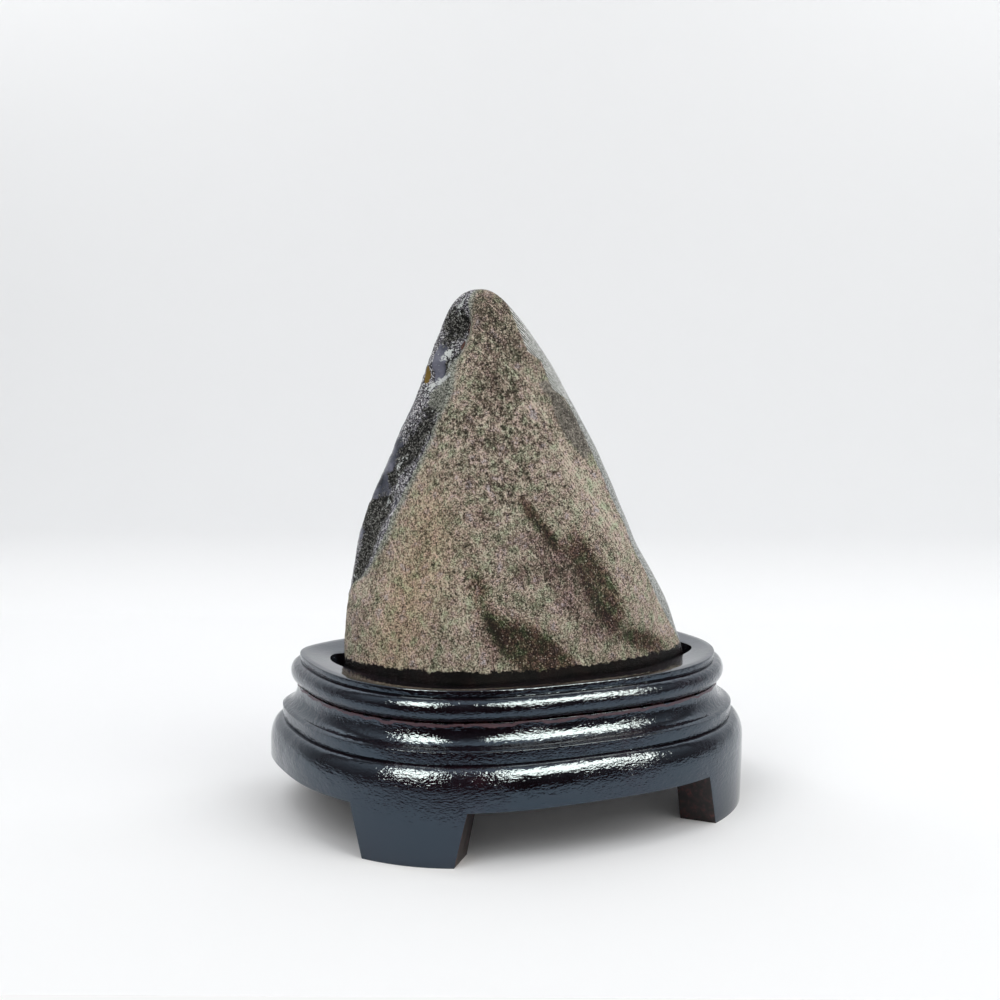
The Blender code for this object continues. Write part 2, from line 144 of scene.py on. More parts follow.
# smooth curve through the values that never overshoots them, for arrays of x
def smoothCurve(xs, ys, x):
    xs, ys, x = np.asarray(xs, float), np.asarray(ys, float), np.asarray(x, float)
    steps = np.diff(ys) / np.diff(xs)
    slopes = np.concatenate([steps[:1], np.zeros(len(steps) - 1), steps[-1:]])
    for i in range(1, len(steps)):
        if steps[i - 1] * steps[i] > 0:
            slopes[i] = 2 * steps[i - 1] * steps[i] / (steps[i - 1] + steps[i])
    x = np.clip(x, xs[0], xs[-1])
    i = np.clip(np.searchsorted(xs, x, side="right") - 1, 0, len(xs) - 2)
    width = xs[i + 1] - xs[i]
    t = (x - xs[i]) / width
    start = (1 + 2 * t) * (1 - t) ** 2 * ys[i] + t * (1 - t) ** 2 * width * slopes[i]
    return start + t * t * (3 - 2 * t) * ys[i + 1] + t * t * (t - 1) * width * slopes[i + 1]


def smoothStep(value):
    value = np.clip(value, 0.0, 1.0)
    return value * value * (3 - 2 * value)


def noiseAt(points, size, octaves, seed):
    shift = Vector((seed, -seed, 0.5 * seed))
    dimension, lacunarity = 0.9, 2.1
    return np.array([noise.fractal(Vector(p) / size + shift, dimension, lacunarity, octaves) for p in points])


# camera at the height and angle of someone seated at the table
camera = {
    "place": (-0.18976, -0.37880, 0.13331),
    "lookDown": 0.0767,  # radians
    "lookAlong": 0.4478,  # radians, turned from +Y towards +X
    "roll": 0.0056,
    "lens": 45.66,
}


def makeCamera():
    data = bpy.data.cameras.new("camera")
    data.lens = camera["lens"]
    data.clip_start = 0.01
    made = bpy.data.objects.new("camera", data)
    turn = Matrix.Rotation(-camera["lookAlong"], 4, "Z")
    turn @= Matrix.Rotation(math.pi / 2 - camera["lookDown"], 4, "X")
    made.matrix_world = Matrix.Translation(camera["place"]) @ turn @ Matrix.Rotation(camera["roll"], 4, "Z")
    bpy.context.scene.collection.objects.link(made)
    bpy.context.scene.camera = made


makeCamera()
print("camera placed")


# stand of two carved tiers, glued together: sizes in mm
stand = {
    "halfLength": 80.2, "halfDepth": 61.4,  # apron
    "ovalPower": 2.53,  # 2 is an ellipse, more is squarer
    "lopsided": 2.3, "lopsidedAt": 20.6,  # hand-sawn oval: three swellings, degrees
    "points": 360,
    "height": 49.6, "glueLine": 40.2, "jointGap": 0.3,
    "apronBottom": 16.2,
    "topEdge": 9.8, "neck": 8.9, "lip": 4.0,  # set back from the apron's face
    "fillet": 2.0, "beadSwell": 2.9, "cove": 5.4, "lipHeight": 3.6, "ovolo": 7.5,
    "arris": 0.45,  # softened edges
    "waviness": 0.10, "waveLength": 14.0,  # left by hand sanding
    "waveFloor": 0.2,  # level of the waves that leaves the surface in place
    "feet": ((209.0, 248.3), (292.2, 331.0), (57.0, 80.0), (98.0, 123.0)),  # degrees
    "footTaper": 0.80, "footThickness": 0.17, "footSteps": 8, "footTuck": 0.4,
    "sharpFrom": 40.0,  # corners of the feet above this angle are softened
    "cutFacing": 0.55,  # faces that look less outward than this are cut ones
    "recessDepth": 6.0, "recessWaviness": 0.25, "recessWaves": 4.0,
    # the top falls a little towards the recess: share of the way in, dip as a share of the width
    "dish": ((0.06, 0.0), (0.12, 0.006), (0.25, 0.023), (0.45, 0.052), (0.7, 0.089), (0.93, 0.122),
             (1.0, 0.14)),
    "easeWays": (-90.0, -40.0, 0.0, 90.0, 150.0, 200.0, 270.0),
    "easeRoom": (1.2, 3.5, 1.5, 2.0, 5.0, 1.5, 1.2),
}


# point of the stand's outline, in mm, where its face looks along angle
def oval(angle, setBack=0.0):
    power = stand["ovalPower"] / (stand["ovalPower"] - 1)
    c, s = math.cos(angle), math.sin(angle)
    along, across = abs(stand["halfLength"] * c), abs(stand["halfDepth"] * s)
    reach = (along ** power + across ** power) ** (1 / power)
    x = (reach / along) ** (1 - power) * math.copysign(stand["halfLength"], c) if along > 1e-6 else 0.0
    y = (reach / across) ** (1 - power) * math.copysign(stand["halfDepth"], s) if across > 1e-6 else 0.0
    lopsided, start = stand["lopsided"], math.radians(stand["lopsidedAt"])
    out = lopsided * math.cos(3 * (angle - start)) - setBack
    turn = -3 * lopsided * math.sin(3 * (angle - start))
    return (x + out * c - turn * s - lopsided * math.cos(3 * start),
            y + out * s + turn * c + lopsided * math.sin(3 * start))


def outlineAngles():
    angles = [360.0 * i / stand["points"] for i in range(stand["points"])]
    for span in stand["feet"]:
        for edge in span:
            nearest = min(range(len(angles)), key=lambda i: abs(angles[i] - edge))
            angles[nearest] = edge
    return [math.radians(angle) for angle in angles]


# rounds the corners of a profile: each point is (set back, height, radius), and a corner takes up
# no more than a share of the sides beside it
def softProfile(points, steps=3, share=0.45):
    result = [points[0][:2]]
    for before, here, after in zip(points, points[1:], points[2:]):
        corner = Vector(here[:2])
        into, out = corner - Vector(before[:2]), Vector(after[:2]) - corner
        radius = min(here[2], share * into.length, share * out.length) if len(here) > 2 else 0.0
        if radius <= 0:
            result.append(tuple(corner))
            continue
        start, end = corner - into.normalized() * radius, corner + out.normalized() * radius
        for step in range(steps + 1):
            t = step / steps
            result.append(tuple(start * (1 - t) ** 2 + corner * 2 * t * (1 - t) + end * t * t))
    return result + [points[-1][:2]]


def arc(middle, reach, start, end, steps):
    angles = [math.radians(start + (end - start) * i / steps) for i in range(steps + 1)]
    return [(middle[0] - reach[0] * math.cos(a), middle[1] + reach[1] * math.sin(a)) for a in angles]


def upperProfile():
    s = stand
    edge = s["topEdge"]
    bottom, groove = s["glueLine"] + s["jointGap"] / 2, s["height"] - s["fillet"] - 0.25
    middle, half = (bottom + groove) / 2, (groove - bottom) / 2
    bead = arc((edge - 0.1, middle), (s["beadSwell"], half), -84, 84, 26)
    return softProfile(
        [(edge + 1.0, bottom), (edge - 0.3, bottom, 0.3)] + bead
        + [(edge + 0.35, groove + 0.05, 0.15), (edge, groove + 0.35, 0.15), (edge, s["height"], s["arris"]),
           (edge + 1.2, s["height"])])


def lowerProfile():
    s = stand
    top = s["glueLine"] - s["jointGap"] / 2
    neck = top - 1.3
    lipTop = neck - s["cove"] - 0.6
    lipBottom = lipTop - s["lipHeight"]
    ovoloTop = lipBottom - 0.4
    reach = s["lip"] - 0.2
    ovolo = arc((reach, ovoloTop - s["ovolo"]), (reach, s["ovolo"]), 0, 88, 24)
    coveReach = s["neck"] - s["lip"] - 0.4
    cove = arc((s["neck"] - coveReach, neck), (-coveReach, -s["cove"]), 82, 0, 18)
    return softProfile(
        [(0.0, s["apronBottom"])] + ovolo
        + [(s["lip"] + 0.45, lipBottom - 0.25, 0.12), (s["lip"], lipBottom, 0.25),
           (s["lip"], lipTop, s["arris"]), (s["lip"] + 0.3, lipTop + 0.1, 0.1)] + cove
        + [(s["neck"] - 0.1, top, 0.2), (s["neck"] + 1.0, top)])


# sweeps a moulding's profile round the stand's outline and gives it a sanded unevenness
def mouldingTree():
    tree, source = newTree("moulding", (
        ("Geometry", "Geometry"), ("Profile", "Object"), ("Waviness", "Float"), ("Wave Length", "Float"),
        ("Seed", "Float"), ("Finish", "Material")))
    path = addNode(tree, "GeometryNodeMeshToCurve", {"Mesh": source["Geometry"]})
    path = addNode(tree, "GeometryNodeSetCurveNormal", {"Curve": path}, mode="Z_UP")
    section = addNode(tree, "GeometryNodeObjectInfo", {"Object": source["Profile"]})
    section = addNode(tree, "GeometryNodeMeshToCurve", {"Mesh": section.outputs["Geometry"]})
    swept = addNode(tree, "GeometryNodeCurveToMesh", {"Curve": path, "Profile Curve": section})
    place = addNode(tree, "GeometryNodeInputPosition")
    place = addNode(tree, "ShaderNodeVectorMath", {
        0: place, "Scale": source["Wave Length"]}, operation="SCALE")
    waves = addNode(tree, "ShaderNodeTexNoise", {
        "Vector": place, "W": source["Seed"], "Scale": 1.0, "Detail": 1.0}, noise_dimensions="4D")
    height = addNode(tree, "ShaderNodeMath", {0: waves, 1: stand["waveFloor"]}, operation="SUBTRACT")
    height = addNode(tree, "ShaderNodeMath", {0: height, 1: source["Waviness"]}, operation="MULTIPLY")
    normal = addNode(tree, "GeometryNodeInputNormal")
    offset = addNode(tree, "ShaderNodeVectorMath", {0: normal, "Scale": height}, operation="SCALE")
    moved = addNode(tree, "GeometryNodeSetPosition", {"Geometry": swept, "Offset": offset})
    return endTree(tree, source, moved)


def sweepMoulding(name, profile, tree, finish, seed):
    outline = [(x * mm, y * mm, 0.0) for x, y in (oval(angle) for angle in outlineAngles())]
    count = len(outline)
    carrier = meshObject(name, outline, [(i, (i + 1) % count) for i in range(count)], [])
    section = [(-setBack * mm, -height * mm, 0.0) for setBack, height in profile]
    guide = meshObject(name + "Profile", section, [(i, i + 1) for i in range(len(section) - 1)], [])
    mesh = runTree(carrier, tree, {
        "Profile": guide, "Waviness": 2 * stand["waviness"] * mm,
        "Wave Length": 1 / (stand["waveLength"] * mm), "Seed": seed, "Finish": finish})
    bpy.data.objects.remove(guide)
    bpy.data.objects.remove(carrier)
    return mesh


def boundaryRing(bm, low):
    edges = [edge for edge in bm.edges if edge.is_boundary]
    middle = (min(e.verts[0].co.z for e in edges) + max(e.verts[0].co.z for e in edges)) / 2
    return [edge for edge in edges if (edge.verts[0].co.z < middle) == low]


# pulls a new ring out of an open edge and gives its points and edges, not moved yet
def pullRing(bm, ring):
    made = bmesh.ops.extrude_edge_only(bm, edges=ring)["geom"]
    return ([item for item in made if isinstance(item, bmesh.types.BMVert)],
            [item for item in made if isinstance(item, bmesh.types.BMEdge)])


def finishMesh(bm, name, materials, angle=38):
    bmesh.ops.recalc_face_normals(bm, faces=bm.faces)
    mesh = bpy.data.meshes.new(name)
    bm.to_mesh(mesh)
    bm.free()
    for material in materials:
        mesh.materials.append(material)
    mesh.shade_smooth()
    mesh.set_sharp_from_angle(angle=math.radians(angle))
    made = bpy.data.objects.new(name, mesh)
    bpy.context.scene.collection.objects.link(made)
    return made


# upright stone, sawn and hollowed at the back: sizes in mm, ways in degrees from +X
stoneShape = {
    "foot": stand["height"] - stand["recessDepth"] + stand["jointGap"],
    "height": 127.1,
    "footMiddle": (0.0, -2.0), "tipMiddle": (-12.1, 7.3),
    "shoulder": 96.0, "domePower": 2.3, "sharpness": 12.0,
    "faceHeights": (0.0, 22.0, 46.0, 74.0, 102.0, 127.0),
    "faces": {
        -91: (31.5, 28.0, 24.5, 19.5, 14.5, 12.0),
        -70: (35.0, 34.0, 32.0, 29.0, 27.0, 25.0),
        -42: (58.0, 52.0, 40.5, 33.0, 20.0, 13.5),
        -2: (61.0, 54.5, 44.5, 32.5, 23.0, 8.0),
        45: (53.0, 46.5, 39.0, 30.5, 22.0, 14.0),
        140: (59.0, 55.0, 48.0, 33.5, 19.0, 14.0),
        178: (61.0, 58.5, 54.0, 40.5, 32.0, 19.0),
        212: (48.0, 42.0, 35.0, 26.5, 15.5, 8.0),
    },
    "cut": (27.0, 16.0), "cutSharpness": 24.0,
    "grains": ((24.0, 2, 0.0), (2.6, 3, 5.0), (7.0, 2, 9.0)),  # lumps, grain, waves: size, octaves, seed
    "lumpHeight": 0.7,
    "calmFoot": 10.0, "calmTip": 8.0,  # relief fades out over these heights
    "rim": 7.0, "slope": 9.0, "depth": 0.42, "hollow": (12.0, 109.0), "sides": (158.0, 22.0),
    "columns": ((154.5, 345.0, 246), (345.0, 385.5, 26)), "sawnColumns": 64, "sawnReach": 2.1,
    "rows": 280, "lastGap": 0.05, "rowPower": 1.12,
    "rindGrain": 0.10, "rindWaves": 0.12, "flute": 0.9,  # relief of the ground side
    "brokenRelief": 0.7, "brokenFloor": 0.4,  # and of the broken side
    "pitDepth": 1.3, "pillowRise": 0.5, "quartzRise": 0.5, "mostRelief": 0.9,
    "rindEdge": 1.5, "brokenEdge": 0.8, "brokenTo": 260.0,  # how soft their border is; where breaks end
    "roundFrom": 125.0, "roundBy": 0.12,  # eases the tip down to its true height
    "girthFrom": 250.0,  # distances round the stone start at this way
    # large hollows: how steeply they begin; way, height, half width, half height, depth
    "pitEdge": 1.5,
    "pits": ((193.0, 111.0, 6.0, 11.0, 2.6), (182.0, 97.5, 5.0, 6.0, 1.6),
             (170.0, 58.0, 7.0, 9.0, 1.8), (168.0, 36.0, 6.0, 9.0, 1.2)),
    # where the ground rind begins on the left and ends on the right, as (height, way)
    "rindStart": ((0, 152), (20, 155), (29, 161.6), (33, 167.4), (40, 172.9), (47, 175.9), (55, 178.3),
                  (68, 184.9), (77, 189.4), (85, 192.7), (92, 199.9), (99, 199.8), (106, 197), (115, 205.4),
                  (121, 200), (127, 190)),
    "rindEnd": ((0, 350), (16, 341), (23, 338), (32, 336), (40, 334.3), (50, 332.8), (57, 329), (61, 327),
                (71, 324), (80, 323.5), (91, 322), (94, 314), (98, 314), (103, 314), (106, 301), (112, 300),
                (117, 301), (121, 306), (127, 320)),
    # how high the painted shade at the foot reaches, where the stone sinks into the stand's recess, as (way,
    # height)
    "footShadeLine": ((154, 5.2), (164, 5.6), (195, 6.4), (205, 6.9), (213, 7.4), (220, 7.7), (226, 6.9),
                 (233, 7.1), (245, 6.3), (262, 6.0), (280, 6.3), (300, 6.4), (320, 6.4), (338, 6.7),
                 (346, 7.1), (386, 6.5)),
}


def sectionMiddle(height):
    t = height / stoneShape["height"]
    foot, tip = stoneShape["footMiddle"], stoneShape["tipMiddle"]
    return foot[0] + (tip[0] - foot[0]) * t, foot[1] + (tip[1] - foot[1]) * t


def domeWidth(height):
    shoulder = stoneShape["shoulder"]
    over = np.clip((height - shoulder) / (stoneShape["height"] - shoulder), 0.0, 1.0)
    return (1 - over ** stoneShape["domePower"]) ** (1 / stoneShape["domePower"])


def cutDistance(height):
    low, high = stoneShape["cut"]
    return low + (high - low) * height / stoneShape["height"] - sectionMiddle(height)[1]


def sectionRadius(way, height):
    s, dome = stoneShape, domeWidth(height)
    total = 0.0
    for looks, distances in s["faces"].items():
        facing = np.maximum(np.cos(way - math.radians(looks)), 0.0)
        distance = np.maximum(smoothCurve(s["faceHeights"], distances, height) * dome, 1e-6)
        total = total + (facing / distance) ** s["sharpness"]
    radius = total ** (-1 / s["sharpness"])
    sine = np.maximum(np.sin(way), 1e-3)
    cut = np.maximum(cutDistance(height) * dome, 1e-6) / sine
    power = s["cutSharpness"]
    rounded = (radius ** -power + cut ** -power) ** (-1 / power)
    return np.where(np.sin(way) > 0.02, rounded, radius)


# how far the hollow's two sides reach along x at a height, in mm
def sideReach(height):
    return [sectionRadius(way, height) * math.cos(way) for way in map(math.radians, stoneShape["sides"])]


# how far inside the hollow's edge a point of the sawn side is, in mm
def hollowInset(x, height):
    left, right = sideReach(height)
    low, high = stoneShape["hollow"]
    rim = stoneShape["rim"]
    return np.minimum(np.minimum(right - x - rim, x - left - rim), np.minimum(height - low, high - height))


def stoneLevels():
    s = stoneShape
    last = 1 - s["lastGap"] / s["height"]
    steps = np.linspace(0.0, 1.0, s["rows"])
    return s["height"] * last * np.sin(steps * math.pi / 2) ** s["rowPower"]


def stoneWays():
    ways = []
    for start, end, count in stoneShape["columns"]:
        ways += [math.radians(start + (end - start) * i / count) for i in range(count)]
    reach, count = stoneShape["sawnReach"], stoneShape["sawnColumns"]
    across = [reach * (1 - 2 * i / count) for i in range(count)]
    return np.array(ways + [math.atan2(1.0, x) + 2 * math.pi for x in across])


# recess that the stone's foot stands in: its outline follows the foot with some room
def recessPoint(point):
    middle = stoneShape["footMiddle"]
    way = math.atan2(point.y / mm - middle[1], point.x / mm - middle[0])
    compass = (math.degrees(way) + 90) % 360 - 90
    reach = float(sectionRadius(way, 0.0)) + float(smoothCurve(stand["easeWays"], stand["easeRoom"], compass))
    cosine, sine, waves = math.cos(way), math.sin(way), stand["recessWaves"]
    reach += stand["recessWaviness"] * noise.noise(Vector((waves * cosine, waves * sine, 0.3)))
    return Vector(((middle[0] + reach * cosine) * mm, (middle[1] + reach * sine) * mm, point.z))


def makeUpperTier(tree, finish):
    bm = bmesh.new()
    bm.from_mesh(sweepMoulding("upperMoulding", upperProfile(), tree, finish, 3.0))
    top, bottom = boundaryRing(bm, low=False), boundaryRing(bm, low=True)
    height = stand["height"] * mm
    floor = height - stand["recessDepth"] * mm
    # slightly dished top in rings towards the recess, its softened edge, then the recess wall:
    # each point of the top's edge runs in to its own point on the recess
    runs = {vert.co.to_tuple(7): (vert.co.copy(), recessPoint(vert.co))
            for edge in top for vert in edge.verts}
    for share, dip in stand["dish"] + ((1.0, None),):
        verts, top = pullRing(bm, top)
        moved = {}
        for vert in verts:
            start, goal = runs[vert.co.to_tuple(7)]
            vert.co = start.lerp(goal, share)
            vert.co.z = floor if dip is None else height - dip * (goal - start).to_2d().length
            moved[vert.co.to_tuple(7)] = (start, goal)
        runs = moved
    bmesh.ops.contextual_create(bm, geom=top)
    bmesh.ops.contextual_create(bm, geom=bottom)
    piece = finishMesh(bm, "upperTier", [finish])
    placePiece(piece, "lacquered_wood", "upper_tier")
    return piece


def makeLowerTier(tree, finish, bareWood):
    bm = bmesh.new()
    bm.from_mesh(sweepMoulding("lowerMoulding", lowerProfile(), tree, finish, 11.0))
    top, bottom = boundaryRing(bm, low=False), boundaryRing(bm, low=True)
    bmesh.ops.contextual_create(bm, geom=top)
    before = set(bm.faces)
    innerVerts, inner = pullRing(bm, bottom)
    innerVerts = set(innerVerts)
    scaleIn = 1 - stand["footThickness"]
    for vert in innerVerts:
        vert.co.x *= scaleIn
        vert.co.y *= scaleIn
    rim = [face for face in bm.faces if face not in before]
    bmesh.ops.contextual_create(bm, geom=inner)
    angles = outlineAngles()
    places = [oval(angle) for angle in angles]

    def angleAt(vert):
        scale = (scaleIn if vert in innerVerts else 1.0) * mm
        x, y = vert.co.x / scale, vert.co.y / scale
        nearest = min(range(len(places)), key=lambda i: (places[i][0] - x) ** 2 + (places[i][1] - y) ** 2)
        return angles[nearest]

    angleOf = {vert: angleAt(vert) for vert in {v for face in rim for v in face.verts}}
    for start, end in ((math.radians(a), math.radians(b)) for a, b in stand["feet"]):
        within = {vert for vert, angle in angleOf.items() if start - 1e-4 <= angle <= end + 1e-4}
        sole = [face for face in rim if within.issuperset(face.verts)]
        rim = [face for face in rim if face not in sole]
        middle = (start + end) / 2
        ring = {v: (angleOf[v], v in innerVerts) for v in {v for face in sole for v in face.verts}}
        for step in range(1, stand["footSteps"] + 1):
            t = step / stand["footSteps"]
            made = bmesh.ops.extrude_face_region(bm, geom=sole)["geom"]
            bmesh.ops.delete(bm, geom=sole, context="FACES")
            sole = [item for item in made if isinstance(item, bmesh.types.BMFace)]
            facts = [(vert.co.copy(), fact) for vert, fact in ring.items()]
            ring = {vert: min(facts, key=lambda f: (f[0] - vert.co).length)[1]
                    for vert in {v for face in sole for v in face.verts}}
            for vert, (angle, inside) in ring.items():
                taper = 1 + (stand["footTaper"] - 1) * t
                x, y = oval(middle + (angle - middle) * taper, stand["footTuck"] * t)
                scale = scaleIn if inside else 1.0
                vert.co = Vector((x * scale, y * scale, stand["apronBottom"] * (1 - t))) * mm
    bmesh.ops.recalc_face_normals(bm, faces=bm.faces)
    limit = (stand["apronBottom"] + 0.1) * mm
    sharp = [edge for edge in bm.edges
             if len(edge.link_faces) == 2 and max(v.co.z for v in edge.verts) < limit
             and edge.calc_face_angle() > math.radians(stand["sharpFrom"])]
    bmesh.ops.bevel(
        bm, geom=sharp, offset=stand["arris"] * mm, segments=3, profile=0.5, affect="EDGES",
        clamp_overlap=True)
    for face in bm.faces:  # the feet's cut sides and the underside were left bare
        middle = face.calc_center_median()
        outward = Vector((middle.x / stand["halfLength"] ** 2, middle.y / stand["halfDepth"] ** 2, 0))
        facing = face.normal.dot(outward.normalized())
        side = abs(face.normal.z) < 0.5 and abs(facing) < stand["cutFacing"]
        if middle.z < limit and (side or face.normal.z < -0.9 or facing < -stand["cutFacing"]):
            face.material_index = 1
    piece = finishMesh(bm, "lowerTier", [finish, bareWood])
    placePiece(piece, "lacquered_wood", "lower_tier")
    return piece


# black gloss lacquer brushed over carved wood: a wet mirror with a cold sheen, pimpled where it dried
# on the grain, and rubbed through to red-brown wood in the joint under the upper tier
lacquerLook = {
    "tones": {0.35: "#100a0e", 0.6: "#190f15", 0.75: "#2b151a"},
    "sheen": "#c4e4ff", "gloss": 0.04, "ior": 1.8,
    # noise: size, detail, roughness, read from
    "grains": {
        "cloud": (18.0, 3.0, 0.5, "place"),
        "ragged": (5.0, 5.0, 0.5, "place"),
        "pimples": (1.4, 2.0, 0.55, "brushed"),
        "waves": (5.0, 1.0, 0.5, "brushed"),
    },
    "brushing": 2.4, "waveShare": 0.6, "relief": 0.24,
    "patchFrom": 0.35, "patchTo": 0.6, "patchShare": 0.35,  # where the pimples are fewer
    "flatFrom": 0.93, "flatTo": 0.97, "flatShare": 0.22,  # the top is rubbed flat,
    "feetFrom": 8.0, "feetTo": 20.0, "feetShare": 0.25,  # and the feet are smoother
    "bareTone": "#4c1c1f", "bareRoughness": 0.5, "bareAt": 39.5, "bareHalf": 0.6, "bareEdge": 0.6,
    "bareRagged": 3.0,
}


def makeLacquer():
    look = lacquerLook
    material, shader = newMaterial("brushedGlossLacquer")
    tree = material.node_tree
    place = addNode(tree, "ShaderNodeTexCoord").outputs["Object"]
    height = addNode(tree, "ShaderNodeSeparateXYZ", {"Vector": place}).outputs["Z"]
    brushed = addNode(tree, "ShaderNodeMapping", {"Vector": place, "Scale": (1.0, 1.0, look["brushing"])})
    reads = {"place": place, "brushed": brushed}
    grain = {name: addNode(tree, "ShaderNodeTexNoise", {
        "Vector": reads[source], "Scale": 1 / (size * mm), "Detail": detail, "Roughness": roughness})
        for name, (size, detail, roughness, source) in look["grains"].items()}
    tint = addNode(tree, "ShaderNodeValToRGB", {"Fac": grain["cloud"]}, stops=look["tones"])

    # the joint, where a ragged line of wood is bare
    lift = look["bareRagged"] * mm
    off = addUp(tree, grain, {"ragged": lift}, height)
    off = addNode(tree, "ShaderNodeMath", {0: off, 1: look["bareAt"] * mm + 0.5 * lift}, operation="SUBTRACT")
    off = addNode(tree, "ShaderNodeMath", {0: off}, operation="ABSOLUTE")
    half = look["bareHalf"] * mm
    bare = addNode(tree, "ShaderNodeMapRange", {
        "Value": off, "From Min": half, "From Max": look["bareEdge"] * half})
    mixed = addNode(tree, "ShaderNodeMix", {0: bare, 6: tint, 7: colour(look["bareTone"])}, data_type="RGBA")
    rough = addNode(tree, "ShaderNodeMapRange", {
        "Value": bare, "To Min": look["gloss"], "To Max": look["bareRoughness"]})

    patchy = addNode(tree, "ShaderNodeMapRange", {
        "Value": grain["cloud"], "From Min": look["patchFrom"], "From Max": look["patchTo"],
        "To Min": look["patchShare"], "To Max": 1.0})
    raised = addNode(tree, "ShaderNodeMath", {0: grain["pimples"], 1: patchy}, operation="MULTIPLY")
    raised = addUp(tree, grain, {"waves": look["waveShare"]}, raised)
    facing = addNode(tree, "ShaderNodeNewGeometry").outputs["True Normal"]
    upward = addNode(tree, "ShaderNodeSeparateXYZ", {"Vector": facing}).outputs["Z"]
    onTop = addNode(tree, "ShaderNodeMapRange", {
        "Value": upward, "From Min": look["flatFrom"], "From Max": look["flatTo"],
        "To Min": 1.0, "To Max": look["flatShare"]})
    onFeet = addNode(tree, "ShaderNodeMapRange", {
        "Value": height, "From Min": look["feetFrom"] * mm, "From Max": look["feetTo"] * mm,
        "To Min": look["feetShare"]})
    strength = addNode(tree, "ShaderNodeMath", {0: onTop, 1: onFeet}, operation="MULTIPLY")
    bump = addNode(tree, "ShaderNodeBump", {
        "Height": raised, "Strength": strength, "Distance": look["relief"] * mm})
    setInputs(shader, {
        "Base Color": mixed.outputs[2], "Roughness": rough, "Normal": bump,
        "IOR": look["ior"], "Specular Tint": colour(look["sheen"])})
    return material


# stained wood that the lacquer did not cover: dry, red-brown, with dark specks
bareLook = {
    "speckSize": 1.8, "roughness": 0.5, "bump": 0.6, "relief": 0.3,
    "tones": {0.4: "#0d0809", 0.55: "#1d1012", 0.66: "#37191a", 0.76: "#5a2826"},
}


def makeBareWood():
    look = bareLook
    material, shader = newMaterial("stainedBareWood")
    tree = material.node_tree
    place = addNode(tree, "ShaderNodeTexCoord").outputs["Object"]
    specks = addNode(tree, "ShaderNodeTexNoise", {
        "Vector": place, "Scale": 1 / (look["speckSize"] * mm), "Detail": 5.0})
    tint = addNode(tree, "ShaderNodeValToRGB", {"Fac": specks}, stops=look["tones"])
    bump = addNode(tree, "ShaderNodeBump", {
        "Height": specks, "Strength": look["bump"], "Distance": look["relief"] * mm})
    setInputs(shader, {"Base Color": tint, "Roughness": look["roughness"], "Normal": bump})
    return material


